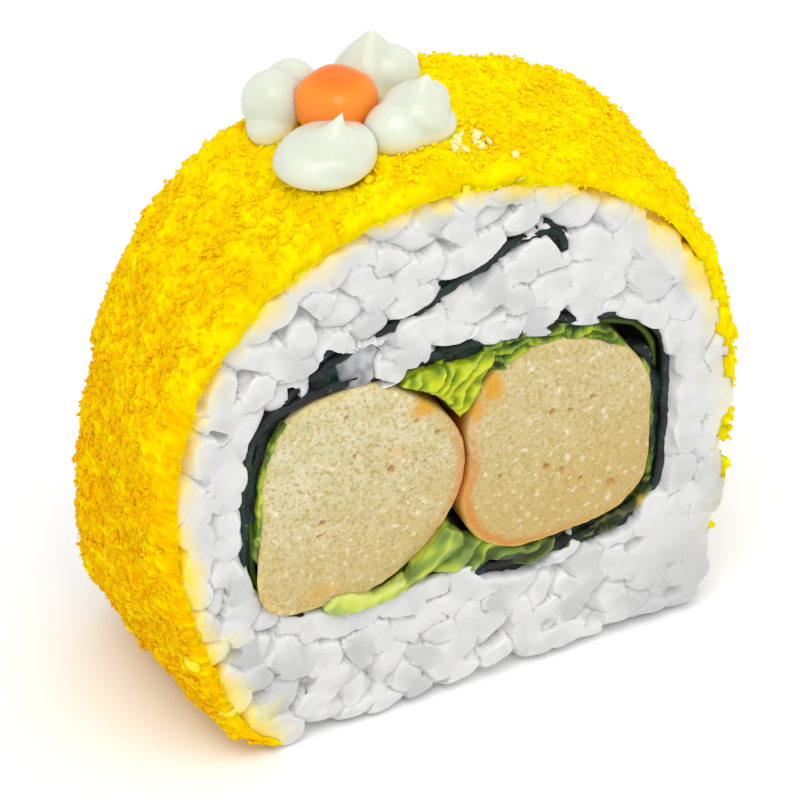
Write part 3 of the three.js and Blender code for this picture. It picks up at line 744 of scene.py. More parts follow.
def grain_relief(points, places, seed):
    """How far each place stands out: every grain has its own tilt, with creases between them."""
    chance = np.random.default_rng(seed)
    count = len(places)
    tilt = chance.normal(0, FACET_TILT, (count, 2))
    lift = chance.normal(0, FACET_LIFT, count)
    lift[chance.uniform(size=count) < SUNKEN_SHARE] -= SUNKEN_DEPTH
    fused_here = np.clip(0.7 + 1.5 * bumps(points, 3.2, 16), 0.1, 1.5)
    half = chance.uniform(0.85, 1.2, (count, 2)) * (GRAIN_LENGTH / 2, GRAIN_WIDTH / 2)
    cos, sin = np.cos(places[:, 2]), np.sin(places[:, 2])
    x = points[:, 0] + 0.35 * bumps(points, 1.3, 14)
    z = points[:, 2] + 0.35 * bumps(points, 1.3, 15)
    relief = np.empty(len(points))
    for part in np.array_split(np.arange(len(points)), len(points) // 6000 + 1):
        right = x[part, None] - places[:, 0]
        up = z[part, None] - places[:, 1]
        along = np.abs(right * cos + up * sin) / half[:, 0]
        across = np.abs(up * cos - right * sin) / half[:, 1]
        away = (along**BLOCKINESS + across**BLOCKINESS) ** (1 / BLOCKINESS)
        row = np.arange(len(part))
        grain = away.argmin(axis=1)
        nearest, following = np.partition(away, 1, axis=1)[:, :2].T
        slant = right[row, grain] * tilt[grain, 0] + up[row, grain] * tilt[grain, 1]
        crease = CREASE_DEPTH * fused_here[part] * np.exp(-(((following - nearest) / CREASE_WIDTH) ** 2))
        crown = GRAIN_CROWN * (1 - np.clip(nearest, 0, 1.2) ** 2)
        relief[part] = crown + np.clip(slant, -SLANT_LIMIT, SLANT_LIMIT) + lift[grain] - crease
    return relief * (1 - smoothed(points))


print("creases are up to", CREASE_DEPTH, "mm deep and a grain's crown is", GRAIN_CROWN, "mm high")

# %% [markdown]
# ## Rice: pressing
# Whatever stands out is squeezed towards a plane, and creases are made shallower. The foot is
# set back a little, where the rice rounds under. Then the pockets are pushed in. It is all
# arithmetic on the depth of each corner.

# %% Pressing the rice
RICE_VOXEL = 0.25
RICE_KEPT = 188000
FLAT_DEPTH = 0.6
FLAT_ROOM = 0.9
UNDERCUT = 0.9
UNDERCUT_HEIGHT = 2.4
POCKET_DEPTH = 2.4
PRESSED_DEPTH = 3.0  # nothing deeper than this moves
RELIEF_ENDS = (1.0, 2.2)


def flattened(depth):
    """Depth behind a cut face, squeezed: nothing stands out far and creases are shallow."""
    outer = FLAT_DEPTH - FLAT_ROOM * np.tanh((FLAT_DEPTH - depth) / FLAT_ROOM)
    inner = depth - 0.25 * (depth - FLAT_DEPTH) * (1 - eased(depth, 1.0, 3.0))
    return np.where(depth < FLAT_DEPTH, outer, inner)


def pressed(points):
    thick = thickness_at(points[:, 2])
    depth = points[:, 1] - FRONT
    for far, places in ((False, front_places), (True, back_places)):
        behind = thick - depth if far else depth
        shallow = behind < PRESSED_DEPTH
        squeezed = flattened(behind[shallow])
        relief = grain_relief(points[shallow], places, seed=35)
        squeezed -= relief * (1 - eased(squeezed, *RELIEF_ENDS))
        set_back = UNDERCUT * eased(UNDERCUT_HEIGHT - points[shallow, 2], 0, UNDERCUT_HEIGHT)
        behind[shallow] = squeezed + set_back
        depth = thick - behind if far else behind
    near = depth < POCKET_DEPTH + 0.5
    rough = 0.09 * bumps(points[near], 0.5, 4)
    inside = np.full(near.sum(), -9.0)
    for corners in POCKETS.values():
        inside = np.maximum(inside, depth_inside(corners, points[near, 0], points[near, 2]))
    depth[near] = np.maximum(depth[near], POCKET_DEPTH * eased(inside + rough, -0.03, 0.25))
    points[:, 1] = FRONT + depth
    points[:, 2] = np.maximum(points[:, 2], 0)
    return points


rice_mesh = fused("rice_grains", rice_parts, RICE_VOXEL, reshaped=pressed, keep=RICE_KEPT)
rice_points = points_of(rice_mesh)

# %% [markdown]
# ## Rice: stains and wet grains
# Near the crumb the grains have taken up some yellow, and here and there a grain is wetter
# than the rest. The smeared lower right corner is marked too, for painted shade. A material
# can't know where the coating is, so the script works it out and marks each corner of the
# mesh with numbers that the material then reads.

# %% Stains and wet grains
STAIN_REACH = 2.6
STRAY_STAIN = (0.5, 1.5, 2.4)  # how strong, full within, gone beyond
COAT_AXIS = 18.0  # height of the axis that the coating is wrapped round
RUBBED_TURNS = (54, 66)  # degrees from which the coating is rubbed off
WET_SHARE = 0.22

near_coat = gap_to_coat(rice_points)
patchy = np.clip(0.5 + 0.9 * bumps(rice_points, 2.2, 3), 0, 1)
rice_turn = np.degrees(np.arctan2(rice_points[:, 0], rice_points[:, 2] - COAT_AXIS))
rubbed = eased(rice_turn, *RUBBED_TURNS)
stain = np.clip(1 - near_coat / STAIN_REACH, 0, 1) * patchy * (1 - 0.4 * rubbed)
for x, z, _ in STRAYS[:3]:
    away = np.hypot(rice_points[:, 0] - x, rice_points[:, 2] - z)
    strength, full, gone = STRAY_STAIN
    stain = np.maximum(stain, strength * (1 - eased(away, full, gone)))
mark(rice_mesh, "stain", stain)
uneven = near_coat + 0.7 * bumps(rice_points, 0.7, 21) + 0.6 * bumps(rice_points, 2.4, 22)
mark(rice_mesh, "soaked", (1 - eased(uneven, 0.2, 1.9)) * (1 - rubbed))
# Painted shade: the smeared lower right corner is marked, and the finish paints it grey.
mark(rice_mesh, "smeared_and_painted_shade", smeared_and_painted_shade(rice_points))

# Some of the grains are wetter and more see-through, so they look grey.
chance = np.random.default_rng(36)
wetness = chance.uniform(0.3, 1.0, len(front_places))
wetness = wetness * (chance.uniform(size=len(front_places)) < WET_SHARE)
wet = np.zeros(len(rice_points))
near_face = np.flatnonzero(rice_points[:, 1] < FRONT + 3)
for part in np.array_split(near_face, 16):
    spots = rice_points[part][:, [0, 2]] + 0.3 * bumps(rice_points[part], 1.0, 23)[:, None]
    away = np.linalg.norm(spots[:, None] - front_places[None, :, :2], axis=2)
    wet[part] = wetness[away.argmin(axis=1)]
mark(rice_mesh, "wet", wet)
print("wet grains:", int((wetness > 0).sum()), "of", len(wetness))

# %% [markdown]
# ## Rice: its finish
# Boiled rice is white, moist and see-through at its edges: light enters a grain, wanders
# about and leaves elsewhere. That is subsurface scattering, and it is what keeps rice from
# looking like plaster. The marks are blended in one over the other, the yellow ones last.

# %% Rice material
rice_finish = Finish(
    "boiled rice",
    Roughness=0.5,
    IOR=1.38,
    Specular_IOR_Level=0.3,
    Subsurface_Weight=1.0,
    Subsurface_Radius=(1.0, 0.95, 0.9),
    Subsurface_Scale=0.55 * MM,
)
grain_colour = rice_finish.blend(rice_finish.speckle(2.6, 0.35, 0.65), "#D3D3D2", "#DEDEDD")
wet_colour = rice_finish.blend(rice_finish.marked("wet"), grain_colour, "#BDBFBF")
# Painted shade: the smeared lower right corner is painted grey, darker than the rest.
painted_shade_colour = rice_finish.blend(rice_finish.marked("smeared_and_painted_shade"), wet_colour, "#C8C8C8")
stained = rice_finish.blend(rice_finish.marked("stain"), painted_shade_colour, "#F4EC9A")
rice_finish.colour(rice_finish.blend(rice_finish.marked("soaked"), stained, "#FFE01E"))
rice_finish.relief(rice_finish.speckle(0.5), 0.02)
show("rice_grains", rice_mesh, rice_finish.material, "rice", "rice")

# %% [markdown]
# ## Nori
# The nori is a thin sheet of dried seaweed, almost black, with a green or teal cast where
# light grazes it. It is damp from the rice, so it is wrinkled and slightly glossy. A thin
# closed shell follows both routes, and noise makes the wrinkles and the torn cut edge.
# Folds fill the pockets from behind. Milky starch has dried on one of them, in the wedge.

# %% Ring and flap
NORI_THICKNESS = 0.6
NORI_ROWS = 30
RING_STEPS = 240


def edge_shares(steps, rows, raggedness, seed, setback, softness=3):
    """Shares through the slice, with ragged cut edges."""
    chance = np.random.default_rng(seed)
    kernel = np.ones(softness) / softness

    def ragged():
        rough = np.convolve(chance.uniform(0, 1, steps + softness - 1), kernel, mode="valid")
        return (setback + raggedness * (rough - 0.5)) / SLICE_DEPTH

    low, high = ragged(), 1 - ragged()
    return low[:, None] + (high - low)[:, None] * np.linspace(0, 1, rows)[None]


ring_turns = np.linspace(0, 2 * math.pi, RING_STEPS, endpoint=False)
ring_shares = edge_shares(RING_STEPS, NORI_ROWS, raggedness=0.9, seed=41, setback=0.35)
ring_skin = shell_along_ring(ring_turns, 0.0, NORI_THICKNESS, ring_shares, True)
flap_shares = edge_shares(FLAP_STEPS, NORI_ROWS, raggedness=0.9, seed=42, setback=0.5)
flap_skin = closed_skin(sheet_shell(flap_route, flap_normals, flap_shares, NORI_THICKNESS), False)
print("ring and flap have", len(ring_skin[1]) + len(flap_skin[1]), "triangles")

# %% [markdown]
# ## Nori: folds in the pockets
# In a pocket the eye looks past the rice at wrinkled black folds. Each is a block with the
# pocket's own outline, a little larger, so that its edges stay under the rice. It is remeshed
# and pushed about by noise.

# %% Folds in the pockets
FOLD_DEPTH = 0.9
FOLD_THICKNESS = 1.6
FOLD_GROWN = 0.35
FILM_DEPTHS = (0.5, 1.2)
FILM_CORNERS = [
    (-10.7, 37.2), (-9.4, 37.9), (-7.4, 38.1), (-6.7, 37.1), (-7.2, 36.2), (-7.1, 34.6),
    (-8.3, 34.0), (-10.0, 34.2),
]


def prism(corners, near_depth, far_depth, grown=0.0):
    """A closed block with this flat outline, between two depths behind the near cut face."""
    corners = np.asarray(corners, dtype=float)
    following = np.roll(corners, -1, axis=0)
    clockwise = (corners[:, 0] * following[:, 1] - following[:, 0] * corners[:, 1]).sum() < 0
    along = following - np.roll(corners, 1, axis=0)
    along /= np.linalg.norm(along, axis=1, keepdims=True)
    normal = np.stack([along[:, 1], -along[:, 0]], axis=1) * (-1 if clockwise else 1)
    corners = corners + grown * normal
    caps = np.array(tessellate_polygon([[Vector((x, z, 0)) for x, z in corners]]))
    count = len(corners)
    i = np.arange(count)
    j = (i + 1) % count
    points = [at(corners[:, 0], corners[:, 1], depth / SLICE_DEPTH) for depth in (near_depth, far_depth)]
    walls = split_quads(np.stack([i, j, j + count, i + count], axis=1))
    return np.concatenate(points), np.concatenate([caps, caps[:, ::-1] + count, walls])


folds = [
    prism(corners, FOLD_DEPTH, FOLD_DEPTH + FOLD_THICKNESS, FOLD_GROWN) for corners in POCKETS.values()
]
fold_points, fold_faces = skin_of(fused("nori folds", folds, voxel=0.24))
fold_points[:, 1] += 0.3 * bumps(fold_points, 0.9, 2) + 0.12 * bumps(fold_points, 0.35, 3)

film = prism(FILM_CORNERS, *FILM_DEPTHS)
film_points, film_faces = skin_of(fused("starch film", [film], voxel=0.2, smooth_steps=3))
film_points[:, 1] += 0.10 * (film_points[:, 2] - 36) + 0.12 * bumps(film_points, 1.2, 6)

nori_parts = [ring_skin, flap_skin, (fold_points, fold_faces), (film_points, film_faces)]
nori_points, nori_faces = joined(*nori_parts)
wrinkles = np.stack([bumps(nori_points, 1.6, 1), bumps(nori_points, 1.4, 2)], axis=1)
nori_points[:, [0, 2]] += 0.14 * wrinkles
nori_mesh = mesh_from("nori_sheet", nori_points, nori_faces)
starch = np.zeros(len(nori_points))
fading = eased(film_points[:, 0] + 0.7 * film_points[:, 2], 13.4, 18.6)
starch[-len(film_points):] = np.clip(0.15 + 0.8 * fading + 0.45 * bumps(film_points, 0.7, 8), 0, 1)
mark(nori_mesh, "starch", starch)
print("the folds have", len(fold_faces), "triangles")

# %% [markdown]
# ## Nori: its finish
# Damp nori is black with a teal cast, and its gloss comes and goes with every wrinkle. So the
# roughness varies too, and a fine bump breaks up the glints.

# %% Nori material
nori_finish = Finish("damp nori", Roughness=0.4, IOR=1.45, Specular_IOR_Level=0.4)
nori_patches = nori_finish.blend(nori_finish.speckle(2.5, 0.4, 0.7), "#0E1110", "#14302C")
nori_flecks = nori_finish.blend(nori_finish.speckle(0.5, 0.66, 0.8), nori_patches, "#6F7673")
nori_finish.colour(nori_finish.blend(nori_finish.marked("starch"), nori_flecks, "#BFC1C3"))
nori_finish.rough(nori_finish.speckle(0.8), 0.3, 0.65)
nori_finish.relief(nori_finish.speckle(0.35, detail=4.0), 0.1)
show("nori_sheet", nori_mesh, nori_finish.material, "nori", "nori")

# %% [markdown]
# ## The two fillings
# The fillings are pale, springy rods, chopped fine and cooked, with a porous cut face and a
# tan skin where they were browned. Their outlines are read from the frame by rays that start
# inside each solid, so they press against each other, the leaf and the nori as the solids do.
# Low on the left the knife has dragged the filling out over the nori and the rice.

# %% Outlines of the fillings
FILLINGS = {"filling_left": (-8.6, 24.0), "filling_right": (9.8, 23.0)}
FILLING_STEPS = 236
FILLING_RINGS = 46
SQUASH = {"filling_left": 1.4, "filling_right": 0.0}  # how far the knife dragged it out
SQUASH_TURN = math.radians(227)
SQUASH_SPREAD = 0.42
FACE_BULGE = -0.42  # depth of the middle of the face, in front of the cut
FACE_EDGE = 0.35  # depth of its rim
WALL_START = 1.2


def outline_by_rays(node, centre):
    """How far a solid reaches from a centre, for each turn, half way through the slice."""
    tree = tree_of(node)
    turns = np.linspace(0, 2 * math.pi, FILLING_STEPS, endpoint=False)
    start = Vector(at(*centre, 0.5))
    off_seam = 0.013  # keeps the rays clear of the solid's own edges
    reach = []
    for turn in turns:
        way_out = Vector((math.sin(turn + off_seam), off_seam, math.cos(turn + off_seam)))
        reach.append(tree.ray_cast(start, way_out)[3])
    kernel = np.array([1, 2, 3, 2, 1]) / 9
    padded = np.concatenate([reach[-4:], reach, reach[:4]])
    for _ in range(2):
        padded = np.convolve(padded, kernel, mode="same")
    return turns, padded[4:-4]


def filling_skin(node, centre):
    """Points, triangles, and for each point how near it is to the edge of the cut face."""
    turns, reach = outline_by_rays(node, centre)

    def ring_at(wide, share):
        return at(centre[0] + np.sin(turns) * wide, centre[1] + np.cos(turns) * wide, share)

    squash = SQUASH[node] * np.exp(-(((turns - SQUASH_TURN) / SQUASH_SPREAD) ** 2))
    spread = np.linspace(0, 1, FILLING_RINGS + 1)[1:] ** 0.8
    caps = []
    for far in (False, True):
        cap = []
        for out in spread:
            dragged = 0 if far else squash
            depth = FACE_EDGE - 0.6 * dragged
            depth = depth + (FACE_BULGE - depth) * (1 - out**4) ** (1 / 3)
            wide = (reach + dragged * out**3) * out
            share = depth / SLICE_DEPTH
            cap.append(ring_at(wide, 1 - share if far else share))
        caps.append(cap)
    deep = np.linspace(WALL_START, SLICE_DEPTH - FACE_EDGE, 12)[:-1] / SLICE_DEPTH
    wall = [ring_at(reach, share) for share in deep]
    rows = caps[0] + wall + caps[1][::-1]
    bulge = FACE_BULGE / SLICE_DEPTH
    points = np.concatenate([*rows, [at(*centre, bulge), at(*centre, 1 - bulge)]])
    first = len(points) - 2
    ends = [
        fan(first, 0, FILLING_STEPS, flip=True),
        fan(first + 1, first - FILLING_STEPS, FILLING_STEPS),
    ]
    edge = np.concatenate([spread, np.ones(len(wall)), spread[::-1]])
    edge = np.concatenate([np.repeat(edge, FILLING_STEPS), [0, 0]])
    return points, np.concatenate([net(len(rows), FILLING_STEPS, wrap=True), *ends]), edge


filling_skins = {node: filling_skin(node, centre) for node, centre in FILLINGS.items()}
print("a filling has", len(filling_skins["filling_left"][1]), "triangles")

# %% [markdown]
# ## The fillings: pores, browning and juices
# The cut face is spongy: shallow bumps all over, a few open pores with a browned inside, and
# fine specks. The right rod was fried, so it has an orange ring just inside a see-through
# yellow skin. Orange and yellow juice has run out of the leaf at the top of both.

# %% Pores, browning and juices
PORES = {
    # x, height, radius
    "filling_left": [
        (-6.1, 25.7, 0.55), (-1.8, 27.8, 0.3), (-10.0, 32.0, 0.3), (-12.3, 22.5, 0.35),
        (-12.7, 21.3, 0.3), (-3.7, 29.6, 0.3), (-3.0, 25.4, 0.25), (-9.4, 28.1, 0.25),
    ],
    "filling_right": [
        (8.7, 26.4, 0.45), (10.4, 26.0, 0.35), (8.3, 21.0, 0.45), (9.8, 20.1, 0.4),
        (4.0, 21.5, 0.3), (12.5, 26.7, 0.3), (14.6, 17.2, 0.5), (11.6, 18.7, 0.3),
    ],
}
PORE_DEPTH = 0.4
# Where the skin is browned: towards this turn, this wide, this strongly.
BROWNED = {"filling_left": (math.radians(95), 0.7, 0.75), "filling_right": (math.radians(225), 1.15, 1.0)}
# Where the two press on each other, how wide that is, and how tan each face is.
CONTACT = {"filling_left": math.radians(90), "filling_right": math.radians(270)}
CONTACT_WIDTH = 0.9
TAN = {"filling_left": 0.08, "filling_right": 0.45}
JUICES = {
    # x, height, half width, half height, strength
    "filling_left": [
        (-2.6, 30.6, 2.8, 1.1, 1.0), (-5.6, 27.4, 1.6, 1.2, 0.3), (-12.5, 15.4, 2.6, 1.6, 0.4),
    ],
    "filling_right": [(3.3, 30.5, 1.2, 2.3, 1.0), (1.8, 28.8, 0.9, 1.6, 1.0)],
}


def round_turn(turn, towards):
    """The angle between two turns, from 0 to half a turn."""
    return np.abs((turn - towards + math.pi) % (2 * math.pi) - math.pi)


print("pores:", sum(len(pores) for pores in PORES.values()))

# %% [markdown]
# ## The fillings: their finish
# Chopped and cooked filling is matt and a little see-through. Noise of three sizes gives its
# mealy ground, pale glints and brown dots, and the marks for tan, juice, browning and rind go
# on top. One material serves both fillings.

# %% Filling material
filling_finish = Finish(
    "chopped pale filling",
    Roughness=0.5,
    IOR=1.4,
    Specular_IOR_Level=0.35,
    Subsurface_Weight=0.5,
    Subsurface_Radius=(1.0, 0.8, 0.5),
    Subsurface_Scale=0.7 * MM,
)
pale = filling_finish.blend(filling_finish.speckle(2.2, 0.35, 0.65), "#CFC798", "#DDD6B4")
tanned = filling_finish.blend(filling_finish.marked("tan"), pale, "#CDB270")
mealy = filling_finish.blend(filling_finish.speckle(0.36, 0.48, 0.7), tanned, "#BEA662")
glints = filling_finish.blend(filling_finish.speckle(0.7, 0.58, 0.8), mealy, "#EFE8CC")
dotted = filling_finish.blend(filling_finish.speckle(0.25, 0.62, 0.78), glints, "#9C8542")
juicy = filling_finish.blend(filling_finish.marked("juice"), dotted, "#DDA41C")
browned = filling_finish.blend(filling_finish.marked("browned"), juicy, "#D68A30")
filling_finish.colour(filling_finish.blend(filling_finish.marked("rind"), browned, "#EBCB62"))
filling_finish.relief(filling_finish.speckle(0.22, detail=3.0), 0.14)
print("the filling's finish has", len(filling_finish.tree.nodes), "nodes")

# %% [markdown]
# ## The fillings: their marks
# What differs from place to place is marked on the corners of each mesh: browned, rind, tan
# and juice. Where the two rods press on each other the browned wall shows right up to the
# edge. Lumps and pores are real relief, pushed mostly square to the cut.

# %% Filling faces
for node, centre in FILLINGS.items():
    skin, faces, edge = filling_skins[node]
    x = skin[:, 0] - SKEW * (skin[:, 1] > 0)
    z = skin[:, 2]
    turn = np.arctan2(x - centre[0], z - centre[1])
    near_face = skin[:, 1] < 0
    lumps = 0.10 * bumps(skin, 1.4, 5) + 0.07 * bumps(skin, 0.5, 6)
    pits = np.zeros(len(skin))
    for a, b, radius in PORES[node]:
        away = np.hypot(x - a, z - b) + 0.1 * bumps(skin, 0.4, 9)
        pits = np.maximum(pits, (1 - eased(away, 0.3 * radius, radius)) * near_face)
    outward = (skin - at(*centre, 0.5)) * (0.02, 1.0, 0.02)
    outward /= np.linalg.norm(outward, axis=1, keepdims=True)
    skin = skin + (lumps - PORE_DEPTH * pits)[:, None] * outward
    mesh = mesh_from(node + "_cooked", skin, faces)
    towards, width, strength = BROWNED[node]
    side = strength * np.exp(-((round_turn(turn, towards) / width) ** 2))
    rough_edge = edge + 0.025 * bumps(skin, 1.4, 7)
    contact = np.exp(-((round_turn(turn, CONTACT[node]) / CONTACT_WIDTH) ** 2))
    rim = eased(rough_edge, 0.95, 0.985) * (1 - contact)
    ring = eased(rough_edge, 0.86, 0.93) * (1 - 0.75 * rim)
    wall = eased(skin[:, 1] - FRONT, 0.15, 0.7) * eased(edge, 0.97, 1.0) * contact
    mark(mesh, "browned", np.clip(0.85 * ring * side + 0.55 * pits + wall, 0, 1))
    mark(mesh, "rind", rim * (0.25 + 0.75 * side))
    low = eased(-(x - centre[0]) * 0.2 + z - centre[1] + 2 * bumps(skin, 3.0, 12), 6, -9)
    mark(mesh, "tan", np.clip(0.65 * low + TAN[node], 0, 1))
    juice = np.zeros(len(skin))
    for a, b, wide, high, strong in JUICES[node]:
        away = np.hypot((x - a) / wide, (z - b) / high) + 0.35 * bumps(skin, 0.9, 13)
        juice = np.maximum(juice, strong * (1 - eased(away, 0.1, 1.15)) * near_face)
    mark(mesh, "juice", juice)
    show(node + "_cooked", mesh, filling_finish.material, "filling", node)

# %% [markdown]
# ## Lettuce
# The leaf lines the nori and crumples into the notches above and below the place where the
# two fillings meet. A thin shell makes the lining. The crumples are flat patches on each cut
# face, whose wavy folds are a sine wave bent by noise. Each patch has its own tone, from dark
# olive to bright yellow-green, and all of them are painted darker beside the nori: painted shade.

# %% Leaf patches
LEAF_FROM = math.radians(-24)
LEAF_TO = math.radians(290)
LEAF_STEPS = 200
# What fills the notches between the fillings behind the patches, as (x, height) corners.
WADS = [
    [(-5.4, 34.0), (3.9, 34.0), (1.9, 31), (0.1, 28.4), (-1.8, 31)],
    [(-6.2, 12.6), (-3.4, 15.4), (-0.8, 18.2), (1.3, 15.4), (3.4, 12.6)],
]
# Each patch has an outline, and: the depth of its face, the height and size of its ridges, its
# slope to the right and up, its tone, how pale it is, and the way that its folds run.
LEAF_PATCHES = {
    "upper notch": (
        [
            (-4.9, 33.0), (-3.9, 33.5), (-2.4, 33.9), (-0.9, 33.7), (1.2, 33.4), (2.8, 33.8), (3.7, 33.8),
            (3.4, 32.7), (2.5, 31.5), (2.2, 30.1), (1.2, 29.1), (0.5, 28.2), (-0.4, 29.6), (-1.5, 31.0),
            (-2.9, 31.9),
        ],
        dict(depth=-0.2, ridge=0.6, size=0.75, slope=(0, 0), tone=0.84, pale=0.0, heading=0.9),
    ),
    "over the right filling": (
        [
            (2.6, 33.9), (3.9, 34.8), (5.7, 35.1), (8.0, 35.1), (10.0, 34.5), (12.2, 34.2), (14.0, 32.9),
            (15.9, 30.4), (14.2, 30.8), (12.3, 32.0), (9.9, 32.7), (7.6, 32.7), (5.8, 32.1), (4.4, 31.4),
            (3.3, 32.0),
        ],
        dict(depth=0.1, ridge=0.45, size=0.6, slope=(0, 0.1), tone=0.42, pale=0.0, heading=-0.1),
    ),
    "lower notch": (
        [
            (-5.3, 13.1), (-4.1, 15.3), (-2.3, 16.8), (-0.9, 18.1), (0.8, 16.4), (0.9, 15.5), (-0.5, 14.9),
            (-2.3, 14.1), (-3.8, 13.5),
        ],
        dict(depth=-0.55, ridge=0.1, size=1.6, slope=(0.14, -0.05), tone=0.66, pale=0.1, heading=0.8),
    ),
    "under the left filling": (
        [
            (-12.4, 13.8), (-11.4, 14.6), (-9.7, 14.3), (-7.5, 13.4), (-6.1, 13.6), (-4.6, 14.2),
            (-4.2, 13.7), (-5.5, 12.6), (-7.2, 12.3), (-9.6, 12.4), (-11.6, 12.8),
        ],
        dict(depth=-0.6, ridge=0.15, size=1.3, slope=(0, 0), tone=0.95, pale=0.3, heading=0.1),
    ),
    "low middle": (
        [
            (-2.6, 13.5), (-0.8, 14.8), (0.6, 15.6), (2.3, 15.4), (4.2, 14.2), (7.1, 12.9), (10.0, 12.5),
            (9.4, 11.3), (7.2, 10.7), (5.4, 11.4), (3.6, 12.5), (2.2, 11.7), (0.0, 12.4),
        ],
        dict(depth=0.15, ridge=0.5, size=1.2, slope=(0, 0.05), tone=0.44, pale=0.05, heading=0.5),
    ),
    "low right": (
        [
            (8.6, 12.0), (11.0, 11.9), (13.4, 12.3), (15.8, 13.2), (17.7, 14.0), (18.5, 16.2),
            (19.4, 15.4), (19.4, 13.5), (17.7, 12.6), (15.6, 11.5), (12.9, 11.0), (10.0, 10.9),
        ],
        dict(depth=0.3, ridge=0.45, size=0.8, slope=(0, 0), tone=0.35, pale=0.0, heading=0.3),
    ),
    "left strip": (
        [
            (-15.3, 33.0), (-16.6, 30.8), (-17.5, 27.8), (-17.8, 24.5), (-17.9, 22.0), (-17.3, 22.0),
            (-17.0, 25.0), (-16.6, 27.8), (-15.7, 30.4), (-14.5, 32.4),
        ],
        dict(depth=0.1, ridge=0.2, size=0.8, slope=(0, 0), tone=0.75, pale=0.05, heading=1.0),
    ),
    "left end": (
        [(-18.1, 22.3), (-17.3, 22.1), (-17.0, 20.7), (-17.5, 19.3), (-18.2, 20.4)],
        dict(depth=0.0, ridge=0.2, size=0.8, slope=(0, 0), tone=0.75, pale=0.05, heading=1.5),
    ),
    "right strip": (
        [
            (17.6, 28.4), (18.3, 27.4), (18.9, 24.1), (19.2, 19.8), (19.0, 16.0), (18.4, 16.0),
            (18.4, 19.8), (17.9, 24.1),
        ],
        dict(depth=0.2, ridge=0.3, size=0.8, slope=(0, 0), tone=0.38, pale=0.0, heading=1.6),
    ),
}
print("leaf patches:", ", ".join(LEAF_PATCHES))

# %% [markdown]
# ## Lettuce: folding a patch
# A crumpled leaf has ridges that run side by side and wander. A sine wave across the way of
# the folds gives the ridges, and noise added to its phase makes them wander. The patch is
# pushed in and out by that wave on its near side alone.

# %% Folds of the leaf
PATCH_THICKNESS = 1.3


def folds_across(points, size, heading, seed):
    """Wavy folds that run along heading, from 0 in the valleys to 1 on the ridges."""
    sideways = points[:, 2] * math.cos(heading) - points[:, 0] * math.sin(heading)
    bend = 1.1 * bumps(points, 2.6 * size, seed) + 0.35 * bumps(points, 0.9 * size, seed + 4)
    wave = 0.5 + 0.5 * np.sin(2 * math.pi * (sideways / size / 1.6 + bend + 0.4 * points[:, 1]))
    return wave**1.4


def painted_shade_beside_nori(points):
    """Painted shade: 1 beside the nori, where the leaf is painted darker, and 0 well inside the ring."""
    across = np.abs(points[:, 0] - NORI_CENTRE[0]) / RING_HALF_WIDTH
    upward = np.abs(points[:, 2] - NORI_CENTRE[1]) / RING_HALF_HEIGHT
    out = (across**RING_SQUARENESS + upward**RING_SQUARENESS) ** (1 / RING_SQUARENESS)
    return eased(out, 0.86, 1.0)


def leaf_patch(corners, depth, ridge, size, slope, tone, pale, heading, seed):
    """Points, triangles, tone and paleness of one crumpled patch on the near face."""
    block = prism(corners, depth, depth + PATCH_THICKNESS)
    points, faces = skin_of(fused("leaf patch", [block], voxel=0.17))
    ridges = folds_across(points, size, heading, seed)
    middle = np.mean(corners, axis=0)
    front = 1 - eased(points[:, 1] - FRONT, depth + 0.2, depth + 1.1)
    inside = eased(depth_inside(corners, points[:, 0], points[:, 2]), 0, 0.5)
    points[:, 1] += front * (0.5 * ridge - ridge * ridges * inside)
    points[:, 1] += slope[0] * (points[:, 0] - middle[0]) + slope[1] * (points[:, 2] - middle[1])
    points[:, [0, 2]] += 0.12 * np.stack([bumps(points, 0.7, seed), bumps(points, 0.7, seed + 9)], axis=1)
    # Painted light and shade: ridges are painted brighter, and the leaf beside the nori darker.
    tones_with_painted_light = tone + 0.4 * (ridges - 0.5) + 0.5 * bumps(points, 1.5, seed + 3) - 0.45 * painted_shade_beside_nori(points)
    rim = (1 - inside) * front
    # Painted highlight: the crests of the ridges are painted paler.
    return points, faces, tones_with_painted_light, pale + 0.5 * rim * pale + 0.15 * eased(ridges, 0.8, 1.0)


on_the_ring = np.array([[NORI_CENTRE[0] + RING_HALF_WIDTH, FRONT, NORI_CENTRE[1]]])
print("shade beside the nori:", painted_shade_beside_nori(on_the_ring))

# %% [markdown]
# ## Lettuce: put together
# The lining, a wad in each notch and the patches become one mesh. The tone of every corner is
# marked in two halves, dark to middle and middle to bright, because three colours are blended
# one after the other.

# %% The whole leaf
LINING_TONE = 0.16
YOLK = (18.7, 12.9, 1.5)  # x, height and size of a yellow smear on the leaf

leaf_turns = np.linspace(LEAF_FROM, LEAF_TO, LEAF_STEPS)
leaf_shares = edge_shares(LEAF_STEPS, 20, raggedness=1.6, seed=43, setback=1.0, softness=7)
lining = shell_along_ring(leaf_turns, -0.8, 0.45, leaf_shares, False)
leaf_parts = [(*lining, np.full(len(lining[0]), LINING_TONE), np.zeros(len(lining[0])))]
for i, corners in enumerate(WADS):
    block = prism(corners, 1.0, SLICE_DEPTH - 0.9)
    points, faces = skin_of(fused("leaf wad", [block], voxel=0.4))
    ridges = folds_across(points, size=1.6, heading=0.6, seed=60 + i)
    points[:, 1] += (ridges - 0.5) * np.where(points[:, 1] < 0, -0.8, 0.8)
    # Painted light: the ridges of the wad are painted brighter.
    leaf_parts.append((points, faces, 0.25 + 0.5 * ridges, np.zeros(len(points))))
for i, (corners, look) in enumerate(LEAF_PATCHES.values()):
    leaf_parts.append(leaf_patch(corners, **look, seed=70 + i))

leaf_points, leaf_faces = joined(*[part[:2] for part in leaf_parts])
tone = np.concatenate([part[2] for part in leaf_parts])
leaf_mesh = mesh_from("lettuce_leaf", leaf_points, leaf_faces)
